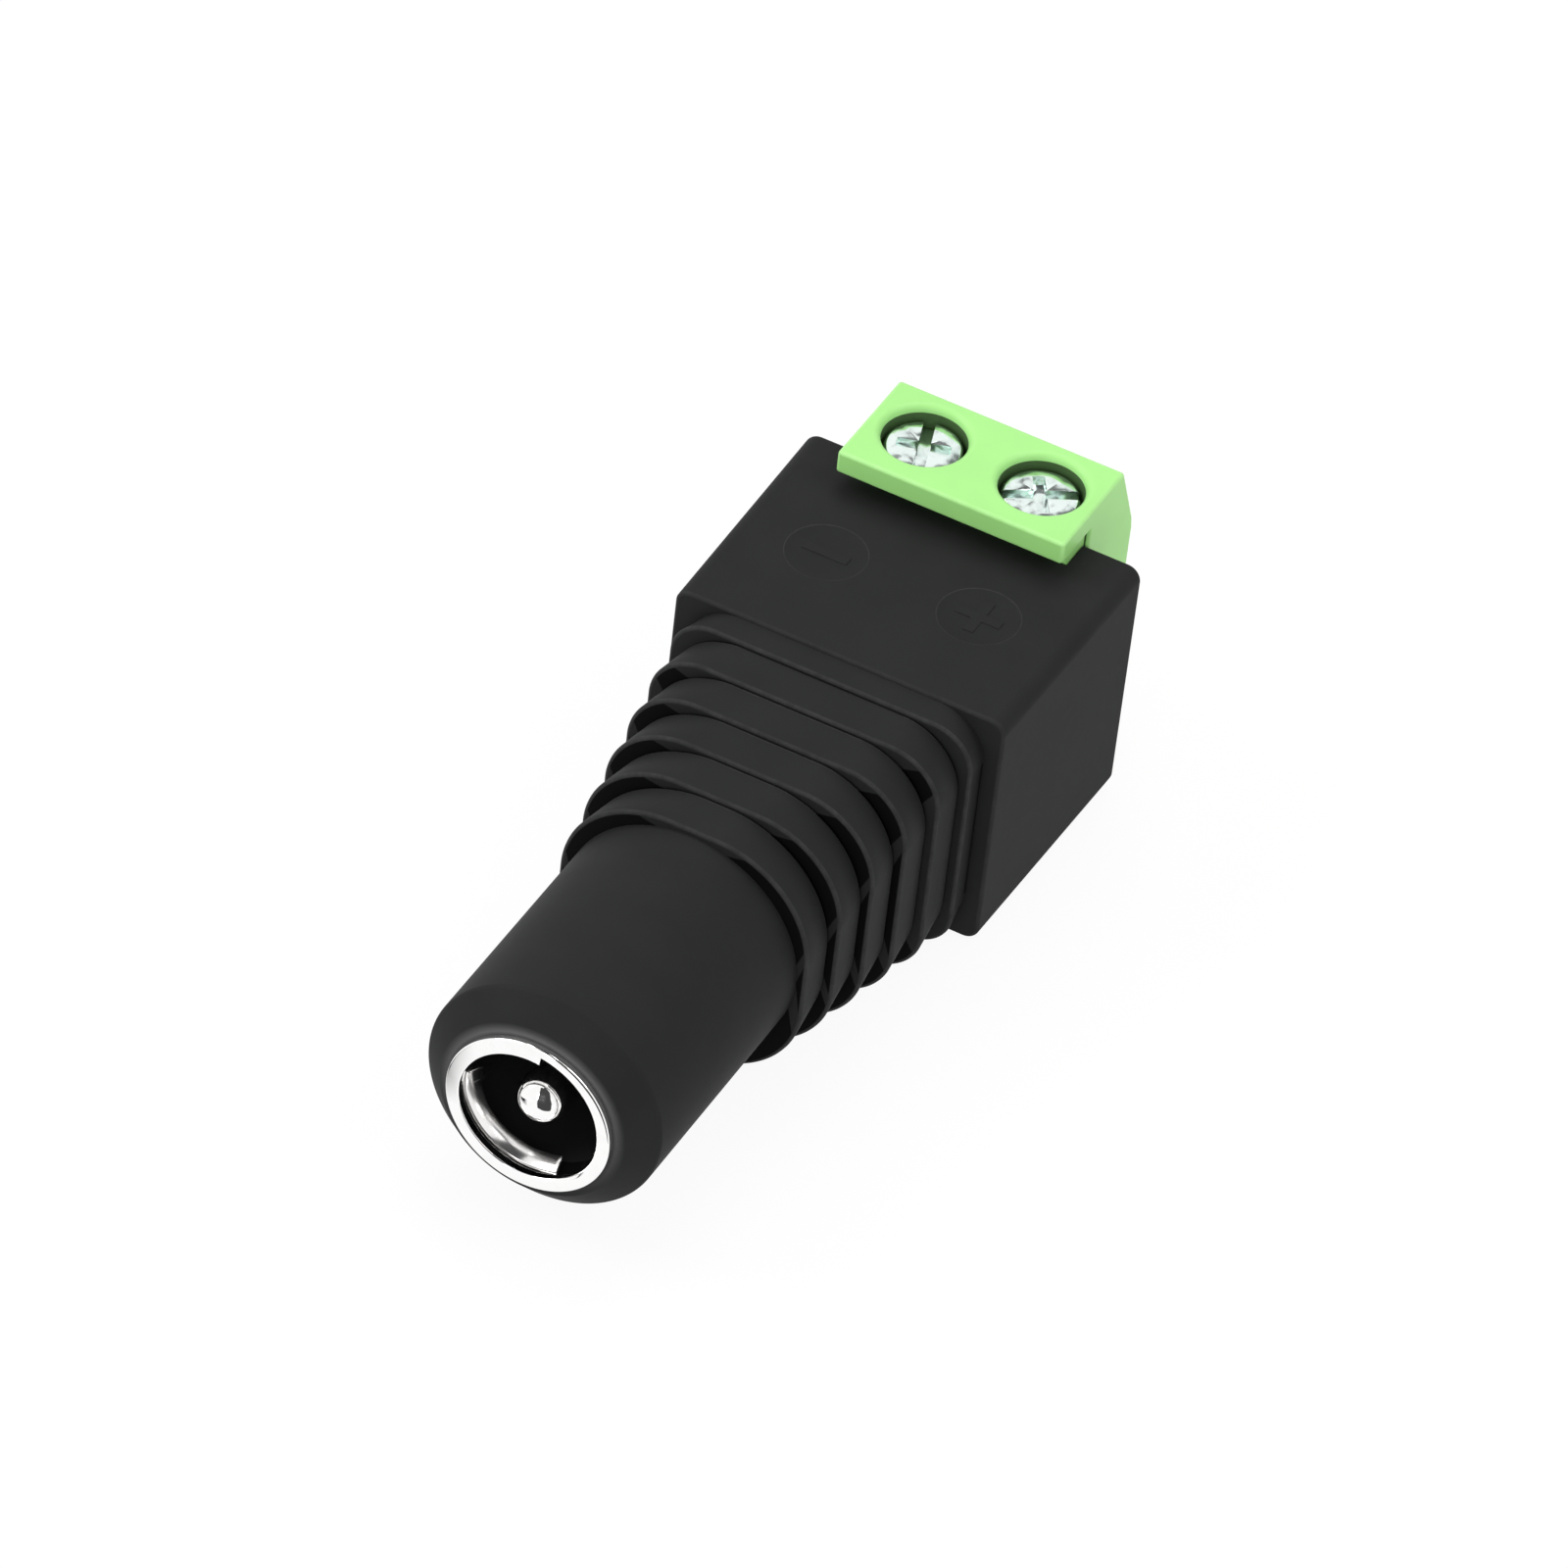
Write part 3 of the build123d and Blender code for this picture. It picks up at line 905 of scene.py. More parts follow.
@dataclass
class Housing:
    """The black moulding: barrel with a chamfered nose, stepped grip, and box with two polarity fields."""

    grip: Grip = field(default_factory=Grip)
    bore_radius: float = 3.25
    barrel_radius: float = 4.82
    barrel_round: float = 0.30
    nose_radius: float = 3.75
    nose_front: float = 0.30
    nose_length: float = 1.01
    nose_round: float = 0.22
    box_length: float = 10.95
    box_top: float = 5.14
    box_bottom: float = -5.70
    front_half_width: float = 6.96
    rear_half_width: float = 7.16
    box_corner: float = 0.62
    least_corner: float = 0.20
    front_round: float = 0.15
    rear_round: float = 0.22
    chamber_half_width: float = 4.2
    chamber_half_height: float = 3.3
    chamber_corner: float = 2.2
    chamber_lap: float = 0.01
    pocket_half_width: float = 4.65
    pocket_front: float = 30.38
    pocket_bottom: float = -3.40
    pocket_top: float = 4.14
    notch_front: float = 32.65
    mark_radius: float = 1.60
    mark_spacing: float = 6.48
    mark_setback: float = 4.98
    mark_depth: float = 0.03
    mark_wall: float = 0.03
    sign_reach: float = 0.95
    sign_half_width: float = 0.22

    @property
    def box_rear(self) -> float:
        """Where the box ends."""
        return self.grip.rear + self.box_length

    def _barrel_rings(self) -> list[list[Vector]]:
        """Outlines from the collar round the mouth to the first rib."""
        profile = rounded_path(
            [
                (self.bore_radius - OVERRUN, self.nose_front, 0.0),
                (self.nose_radius, self.nose_front, self.nose_round),
                (self.barrel_radius, self.nose_front + self.nose_length, self.barrel_round),
                (self.barrel_radius, self.grip.first_front, 0.0),
            ],
            steps=8,
        )
        return [rounded_ring(y, r, r, r) for r, y in profile]

    def _box_rings(self) -> list[list[Vector]]:
        """Outlines of the box, with its front and rear edges rounded."""
        half_height = (self.box_top - self.box_bottom) / 2
        middle = (self.box_top + self.box_bottom) / 2
        stations = [(self.grip.rear + run, rest) for run, rest in quarter_round(self.front_round, 6)]
        stations += [(self.box_rear - rest, run) for run, rest in quarter_round(self.rear_round, 8)]
        rings = [self.grip.rear_ring()]
        for y, inset in stations:
            share = (y - self.grip.rear) / self.box_length
            half_width = self.front_half_width + share * (self.rear_half_width - self.front_half_width)
            corner = max(self.least_corner, self.box_corner - inset)
            rings.append(rounded_ring(y, half_width - inset, half_height - inset, corner, (0.0, middle)))
        return rings

    def _polarity_cutter(self, side: Side) -> Piece:
        """Makes a cutter for a sunk round field that leaves the pole's sign standing.

        Args:
            side: The pole.

        Returns:
            The cutter.
        """
        x, y = side.value * self.mark_spacing / 2, self.grip.rear + self.mark_setback
        depth, past = self.mark_depth, 0.05
        # The shallow slope of the field's rim lets EdgeMarks mark it as an outward edge, so the finish paints
        # a paler glint round the field.
        top_radius = self.mark_radius + self.mark_wall * (1 + 2 * past / depth)
        path = [(0.0, -depth), (self.mark_radius - self.mark_wall, -depth), (top_radius, past), (0.0, past)]
        field_cutter = turned("field", path, Spindle.SCREW, Vector((x, y, self.box_top)), around=72)
        low, high = self.box_top - depth - OVERRUN, self.box_top + past + OVERRUN
        bars = [(self.sign_reach, self.sign_half_width), (self.sign_half_width, self.sign_reach)]
        if side is Side.LEFT:
            bars.pop()
        signs = [block("sign", (x - a, y - b, low), (x + a, y + b, high)) for a, b in bars]
        return combined(field_cutter, signs)

    def _cutters(self) -> list[Piece]:
        """Cutters for the bore, the inside of the box, the seat of the terminal and the two fields."""
        chamber = [
            rounded_ring(y, self.chamber_half_width, self.chamber_half_height, self.chamber_corner)
            for y in (CORE_REAR - self.chamber_lap, self.pocket_front + OVERRUN)
        ]
        half_width, past_rear = self.pocket_half_width, self.box_rear + 2 * OVERRUN
        return [
            rod("bore", self.bore_radius, -2 * OVERRUN, CORE_REAR, Spindle.SOCKET),
            lofted("chamber", chamber),
            block(
                "pocket",
                (-half_width, self.pocket_front, self.pocket_bottom),
                (half_width, past_rear, self.pocket_top),
            ),
            block(
                "notch",
                (-half_width, self.notch_front, self.pocket_top - OVERRUN),
                (half_width, past_rear, self.box_top + 2 * OVERRUN),
            ),
            *(self._polarity_cutter(side) for side in Side),
        ]

    def build(self, finish: Finish) -> None:
        """Makes the housing in one piece.

        Args:
            finish: Its material.
        """
        ribs = self.grip.grown(finish)
        shape = bmesh.new()
        shape.from_mesh(ribs.data)
        bpy.data.objects.remove(ribs)
        bmesh.ops.scale(shape, vec=(1 / MM, 1 / MM, 1 / MM), verts=shape.verts)
        barrel = self._barrel_rings()
        skin(shape, barrel, end_cap=False)
        skin(shape, self._box_rings(), start_cap=False)
        skin(shape, [barrel[-1], self.grip.front_ring()], start_cap=False, end_cap=False)
        housing = combined(from_bmesh("housing_moulding", shape), self._cutters())
        dressed(housing, "body", finish, ["housing"])


@dataclass
class Socket:
    """What the plug meets: nickel ring, insulating core, centre pin with its rivet, and sleeve spring."""

    ring_outer: float = 3.22
    ring_inner: float = 2.95
    ring_length: float = 1.30
    lip_outer: float = 3.385
    lip_inner: float = 2.82
    lip_height: float = 0.30
    lip_round: float = 0.08
    throat_round: float = 0.05
    seam_angle: float = 84.0
    seam_reach: float = 0.22
    seam_length: float = 95.0
    seam_round: float = 0.08
    worn_angle: float = 236.0
    worn_length: float = 50.0
    worn_round: float = 0.20
    core_floor: float = 1.80
    core_play: float = 0.05
    pin_radius: float = 1.0
    pin_recess: float = 0.40
    pin_flat: float = 0.12
    flange_radius: float = 1.45
    flange_length: float = 0.40
    flange_round: float = 0.08
    rivet_radius: float = 0.60
    rivet_play: float = 0.03
    rivet_head: float = 0.30
    rivet_round: float = 0.20
    washer_rear: float = 12.80
    spring_radius: float = 2.45
    spring_flare: float = 0.30
    spring_thickness: float = 0.15
    spring_front: float = 0.46
    spring_width: float = 0.62
    spring_angles: tuple[float, float] = (172.0, 272.0)
    spring_steps: int = 48
    tab_length: float = 1.10
    tab_turn: float = 16.0
    tab_steps: int = 6
    stem_width: float = 1.0
    stem_lap: float = 0.03
    stem_neck: float = 2.5
    stem_slope: float = 1.0
    stem_rear: float = 14.4

    @property
    def floor(self) -> float:
        """Where the core's floor starts."""
        return CORE_REAR - self.core_floor

    def _ring_profile(self, past: float) -> list[Point]:
        """The ring's section at an angle past its seam.

        Args:
            past: Degrees past the seam, up to 360 just short of it.

        Returns:
            Radius and Y of the section's points.
        """
        h = self.lip_height
        swell = max(0.0, 1 - past / self.seam_length)
        recess = max(0.0, 1 - (360 - past) / self.seam_length)
        worn = max(0.0, 1 - abs(past - self.worn_angle) / self.worn_length)
        inner = self.lip_inner - self.seam_reach * swell + self.seam_reach * recess
        inner_round = self.throat_round + self.seam_round * swell + self.worn_round * worn
        return rounded_path(
            [
                (self.ring_outer, self.ring_length, 0.0),
                (self.ring_outer, h, 0.0),
                (self.lip_outer, h, 0.03),
                (self.lip_outer - 0.01, 0.0, self.lip_round),
                (inner, 0.0, inner_round),
                (min(inner, self.lip_inner), h * 1.1, 0.03),
                (self.ring_inner, h * 1.5, self.throat_round),
                (self.ring_inner, self.ring_length, 0.0),
            ],
            steps=8,
        )

    def _ring(self, finish: Finish) -> None:
        """Makes the rolled ring, with the step where its strip overlaps."""
        rings = []
        for k in range(AROUND + 1):
            past = 360 * k / AROUND
            out = arm(math.radians(self.seam_angle + past))
            rings.append([out * radius + Vector((0.0, y, 0.0)) for radius, y in self._ring_profile(past)])
        rings.append(rings[0])
        ring = lofted("mouth_ring_rolled", rings, capped=False)
        dressed(ring, "body", finish, ["mouth_ring"])

    def _core(self, finish: Finish) -> None:
        """Makes the black cup that lines the bore."""
        hole = self.rivet_radius + self.rivet_play
        path = [
            (self.ring_outer, self.ring_length),
            (self.ring_outer, CORE_REAR),
            (hole, CORE_REAR),
            (hole, self.floor),
            (self.ring_inner, self.floor),
            (self.ring_inner, self.ring_length),
        ]
        core = turned("jack_core_cup", path, Spindle.SOCKET)
        middle = self.spring_radius + self.spring_thickness / 2
        half_slot = self.spring_thickness / 2 + self.core_play
        half_height = self.stem_width / 2 + self.core_play
        slot = block(
            "slot",
            (-middle - half_slot, self.floor - 2 * OVERRUN, -half_height),
            (-middle + half_slot, CORE_REAR + 2 * OVERRUN, half_height),
        )
        combined(core, [slot])
        dressed(core, "body", finish, ["jack_core"])

    def _pin(self, finish: Finish) -> None:
        """Makes the centre pin with its domed tip, flange and riveted tail."""
        flange_front, tail = self.floor - self.flange_length, self.washer_rear + self.rivet_head
        path = rounded_path(
            [
                (0.0, self.pin_recess, 0.0),
                (self.pin_radius, self.pin_recess, self.pin_radius - self.pin_flat),
                (self.pin_radius, flange_front, 0.0),
                (self.flange_radius, flange_front, self.flange_round),
                (self.flange_radius, self.floor, 0.0),
                (self.rivet_radius, self.floor, 0.0),
                (self.rivet_radius, self.washer_rear, 0.0),
                (self.pin_radius, self.washer_rear, 0.0),
                (self.pin_radius, tail, self.rivet_round),
                (0.0, tail, 0.0),
            ],
            steps=14,
        )
        pin = turned("centre_pin_turned", path, Spindle.SOCKET, around=96)
        dressed(pin, "body", finish, ["centre_pin"])

    def _strip_path(self, middle: float) -> list[tuple[Vector, float]]:
        """The line of the spring strip: an arc, then the tab that bends away from it.

        Args:
            middle: Radius of the arc.

        Returns:
            Each point with the angle that the strip faces there.
        """
        start, end = (math.radians(angle) for angle in self.spring_angles)
        turns = [start + (end - start) * k / self.spring_steps for k in range(self.spring_steps + 1)]
        path = [(arm(turn) * middle, turn) for turn in turns]
        heading = end + math.pi / 2
        tip = path[-1][0]
        for _ in range(self.tab_steps):
            heading += math.radians(self.tab_turn) / self.tab_steps
            tip = tip + arm(heading) * (self.tab_length / self.tab_steps)
            path.append((tip, heading - math.pi / 2))
        return path

    def _spring(self, finish: Finish) -> None:
        """Makes the curved contact strip with its bent end, on the stem that leads back."""
        half, lean = self.spring_thickness / 2, self.spring_flare / 2
        stem_middle = self.spring_radius + half
        front, rear = self.spring_front, self.spring_front + self.spring_width
        corners = [(lean - half, front), (lean + half, front), (half - lean, rear), (-half - lean, rear)]
        rings = [
            [point + arm(turn) * reach + Vector((0, y, 0)) for reach, y in corners]
            for point, turn in self._strip_path(stem_middle + lean)
        ]
        strip = softened(lofted("sleeve_spring_strip", rings), width=0.025, segments=2, angle=50)
        wide, stem_front = self.stem_width / 2, rear - self.stem_lap
        neck_rear = stem_front + self.stem_neck
        outline = [
            (stem_front, -wide),
            (stem_front, -wide / 2),
            (neck_rear, -wide / 2),
            (neck_rear + self.stem_slope, wide),
            (self.stem_rear, wide),
            (self.stem_rear, -wide),
        ]
        combined(strip, [prism("stem", outline, -stem_middle - half, -stem_middle + half)], "UNION")
        dressed(strip, "body", finish, ["sleeve_spring"])

    def build(self, black: Finish, nickel: Finish, satin: Finish) -> None:
        """Makes the socket's pieces.

        Args:
            black: Material of the core.
            nickel: Material of the ring and the pin.
            satin: Material of the spring.
        """
        self._ring(nickel)
        self._core(black)
        self._pin(nickel)
        self._spring(satin)


@dataclass
class TerminalBlock:
    """The green moulding with a sunk well over each screw and a funnel for each wire."""

    half_width: float = 4.82
    body_half_width: float = 4.60
    top: float = 6.89
    bottom: float = -3.35
    cap_front: float = 31.70
    neck_front: float = 32.70
    box_rear: float = 34.15
    rear: float = 38.30
    top_rear: float = 36.77
    knee_inset: float = 0.12
    knee_top: float = 3.77
    knee_bottom: float = 3.22
    lip_bottom: float = 5.88
    body_top: float = 4.09
    body_front: float = 30.43
    well_radius: float = 1.68
    well_round: float = 0.30
    shaft_radius: float = 1.30
    cell_top: float = 4.89
    cell_half: float = 1.76
    entry_half_width: float = 1.30
    entry_half_height: float = 1.10
    entry_middle: float = -0.235
    entry_corner: float = 0.45
    entry_flare: float = 0.40
    bar_half_width: float = 1.05
    bar_bottom: float = 0.84
    bar_top: float = 1.54
    rear_step: float = 0.02
    edge: float = 0.15

    def _cap(self) -> Piece:
        """The cap, shoulder and rear body, with rounded edges."""
        rear_face = self.box_rear + self.rear_step
        outline = [
            (self.cap_front, self.lip_bottom),
            (self.cap_front, self.top),
            (self.top_rear, self.top),
            (self.rear - self.knee_inset, self.knee_top),
            (self.rear, self.knee_bottom),
            (self.rear, self.bottom),
            (rear_face, self.bottom),
            (rear_face, self.lip_bottom),
        ]
        cap = prism("terminal_block_moulding", outline, -self.half_width, self.half_width)
        return softened(cap, self.edge, segments=4, angle=20)

    def _well(self, side: Side) -> Piece:
        """A cutter for the well over a screw, flared at its rim."""
        rim = [(self.well_radius + run, self.top - rest) for run, rest in quarter_round(self.well_round, 8)]
        path = [(0.0, HEAD_BOTTOM), (self.well_radius, HEAD_BOTTOM), *rim]
        path += [(self.well_radius + self.well_round, self.top + OVERRUN), (0.0, self.top + OVERRUN)]
        return turned("well", path, Spindle.SCREW, side.axis, around=128)

    def _funnel(self, side: Side) -> Piece:
        """A cutter for a wire entry, flared at the rear face."""
        stations = [(self.rear + OVERRUN, self.entry_flare)]
        stations += [(self.rear - run, rest) for run, rest in quarter_round(self.entry_flare, 6)]
        stations.append((SCREW_Y, 0.0))
        rings = []
        for y, flare in stations:
            half_width, half_height = self.entry_half_width + flare, self.entry_half_height + flare
            centre = (side.x, self.entry_middle)
            rings.append(rounded_ring(y, half_width, half_height, self.entry_corner + flare, centre))
        return lofted("funnel", rings)

    def _cutters(self, side: Side) -> list[Piece]:
        """Makes the cutters of one pole.

        Args:
            side: The pole.

        Returns:
            Cutters for the well, the shaft, the clamp's cell, the wire entry and the contact bar.
        """
        x, half = side.x, self.cell_half
        low, high = self.cell_top - OVERRUN, HEAD_BOTTOM + OVERRUN
        return [
            self._well(side),
            rod("shaft", self.shaft_radius, low, high, Spindle.SCREW, side.axis, around=64),
            block(
                "cell",
                (x - half, SCREW_Y - half, self.bottom - 2 * OVERRUN),
                (x + half, SCREW_Y + half, self.cell_top),
            ),
            self._funnel(side),
            block(
                "bar_slot",
                (x - self.bar_half_width, self.body_front - 2 * OVERRUN, self.bar_bottom),
                (x + self.bar_half_width, SCREW_Y, self.bar_top),
            ),
        ]

    def build(self, finish: Finish) -> None:
        """Makes the block.

        Args:
            finish: Its material.
        """
        moulding = self._cap()
        half_width, rear = self.body_half_width, self.box_rear + OVERRUN
        neck = block(
            "neck",
            (-half_width, self.neck_front, self.bottom),
            (half_width, rear, self.lip_bottom + OVERRUN),
        )
        body = block(
            "block_body",
            (-half_width, self.body_front, self.bottom + HAIR),
            (half_width, rear, self.body_top),
        )
        combined(moulding, [neck, body], "UNION")
        combined(moulding, [cutter for side in Side for cutter in self._cutters(side)])
        dressed(moulding, "body", finish, ["terminal_block"])


@dataclass
class TerminalScrew:
    """A screw with a slot and a short cross slot in its round head, and a rolled thread."""

    side: Side
    slot_turn: float
    head_radius: float = 1.52
    head_top: float = 6.34
    head_round: float = 0.14
    head_flat: float = 0.72
    dome_rise: float = 0.02
    dome_round: float = 0.60
    foot_round: float = 0.05
    shank_bottom: float = 1.54
    shank_radius: float = 1.25
    shank_lap: float = 0.10
    thread_pitch: float = 0.45
    thread_depth: float = 0.20
    rows_per_turn: int = 10
    slot_width: float = 0.48
    slot_depth: float = 0.42
    cross_length: float = 2.10

    def _shank(self, finish: Finish) -> Piece:
        """Makes the threaded shank with a Geometry Nodes tree.

        Args:
            finish: The material.

        Returns:
            The shank, closed at both ends.
        """
        length = HEAD_BOTTOM + self.shank_lap - self.shank_bottom
        sizes = {
            "Rows": int(length / self.thread_pitch * self.rows_per_turn),
            "Around": 40,
            "Length": length,
            "Bottom": self.shank_bottom,
            "Radius": self.shank_radius,
            "Thread Depth": self.thread_depth,
            "Thread Pitch": self.thread_pitch,
            "Centre X": self.side.x,
            "Centre Y": SCREW_Y,
        }
        tree = ShapeTree("rolled_thread", sizes, finish)
        size = tree.value
        rows, around = size("Rows"), size("Around")
        grid, row, column = tree.grid(rows + 2, around + 1)
        height = ((row - 1) / (rows - 1)).clamped() * size("Length")
        turn = (column % around) / around
        wave = (height / size("Thread Pitch") - turn) % 1.0
        ridge = 1 - ((wave - 0.5).math("ABSOLUTE") * 2.6).math("MINIMUM", 1.0)
        lead_in = (height / size("Thread Pitch")).clamped()
        is_end = (row - 0.5).math("LESS_THAN", 0.0) + (row - rows - 0.5).math("GREATER_THAN", 0.0)
        radius = size("Radius") - size("Thread Depth") * (1 - ridge * lead_in)
        radius = radius * (1 - is_end.clamped())
        angle = turn * (2 * math.pi)
        x = size("Centre X") + radius * angle.math("COSINE")
        y = size("Centre Y") + radius * angle.math("SINE")
        shank = tree.finished("threaded_shank", tree.moved(grid, x, y, size("Bottom") + height))
        flip_outwards(shank)
        return shank

    def build(self, finish: Finish) -> None:
        """Makes the screw.

        Args:
            finish: Its material.
        """
        path = rounded_path(
            [
                (0.0, HEAD_BOTTOM, 0.0),
                (self.head_radius, HEAD_BOTTOM, self.foot_round),
                (self.head_radius, self.head_top - self.dome_rise, self.head_round),
                (self.head_radius * self.head_flat, self.head_top, self.dome_round),
                (0.0, self.head_top, 0.0),
            ]
        )
        label = self.side.label
        head = turned(f"{label}_screw_machined", path, Spindle.SCREW, self.side.axis, around=128)
        slots = []
        for half_length, extra in ((self.head_radius * 1.5, 0.0), (self.cross_length / 2, 90.0)):
            slot = block(
                "slot",
                (-half_length, -self.slot_width / 2, self.head_top - self.slot_depth),
                (half_length, self.slot_width / 2, self.head_top + OVERRUN),
            )
            turn = Matrix.Rotation(math.radians(self.slot_turn + extra), 4, "Z")
            slot.data.transform(Matrix.Translation(self.side.axis * MM) @ turn)
            slots.append(slot)
        combined(head, slots)
        softened(head, width=0.03, segments=2, angle=40)
        combined(head, [self._shank(finish)], "UNION")
        stands_for = [f"{label}_terminal_screw"]
        dressed(head, f"{label}_screw", finish, stands_for, smooth_angle=38)


@dataclass
class ClampCage:
    """A rising clamp: a folded square tube with a round hole in its roof and a grooved floor."""

    side: Side
    half_width: float = 1.70
    depth: float = 3.40
    wall: float = 0.40
    fold: float = 0.35
    edge: float = 0.06
    roof_bottom: float = 1.59
    roof: float = 1.00
    floor_top: float = -1.36
    floor: float = 0.80
    hole_radius: float = 1.29
    groove_count: int = 3
    groove_width: float = 0.30
    groove_depth: float = 0.15

    def _grooves(self, finish: Finish) -> Piece:
        """Makes the row of groove cutters with a Geometry Nodes tree.

        Args:
            finish: The material.

        Returns:
            The cutters as one object.
        """
        sizes = {
            "Grooves": self.groove_count,
            "Spacing": self.depth / (self.groove_count + 1),
            "Width": self.groove_width,
            "Reach": 2 * (self.half_width - self.wall),
            "Deep": 2 * self.groove_depth,
            "Centre X": self.side.x,
            "Centre Y": SCREW_Y,
            "Level": self.floor_top,
        }
        tree = ShapeTree("floor_grooves", sizes, finish)
        size = tree.value
        count, spacing = size("Grooves"), size("Spacing")
        first = size("Centre Y") - spacing * (count - 1) / 2
        start = tree.vector(size("Centre X") * MM, first * MM, size("Level") * MM)
        step = tree.vector(0.0, spacing * MM, 0.0)
        line = tree.add(
            "GeometryNodeMeshLine", None, {"Count": count, "Start Location": start, "Offset": step}
        )
        extent = tree.vector(size("Reach") * MM, size("Width") * MM, size("Deep") * MM)
        cutter = tree.add("GeometryNodeMeshCube", None, {"Size": extent})
        placed = tree.add("GeometryNodeInstanceOnPoints", None, {"Points": line, "Instance": cutter})
        return tree.finished("grooves", placed)

    def build(self, finish: Finish) -> None:
        """Makes the clamp.

        Args:
            finish: Its material.
        """
        x, label = self.side.x, self.side.label
        floor_bottom, roof_top = self.floor_top - self.floor, self.roof_bottom + self.roof
        half_height, middle = (roof_top - floor_bottom) / 2, (roof_top + floor_bottom) / 2
        front, rear = SCREW_Y - self.depth / 2, SCREW_Y + self.depth / 2
        stations = [(front, self.edge), (front + self.edge, 0.0), (rear - self.edge, 0.0), (rear, self.edge)]
        rings = [
            rounded_ring(y, self.half_width - inset, half_height - inset, self.fold - inset, (x, middle))
            for y, inset in stations
        ]
        cage = lofted(f"{label}_clamp_folded", rings)
        half_window = self.half_width - self.wall
        window = block(
            "window",
            (x - half_window, SCREW_Y - self.depth, self.floor_top),
            (x + half_window, SCREW_Y + self.depth, self.roof_bottom),
        )
        low, high = self.roof_bottom - OVERRUN, roof_top + OVERRUN
        hole = rod("hole", self.hole_radius, low, high, Spindle.SCREW, self.side.axis, around=64)
        combined(cage, [window, hole, self._grooves(finish)])
        dressed(cage, f"{label}_clamp", finish, [f"{label}_clamp_cage"])


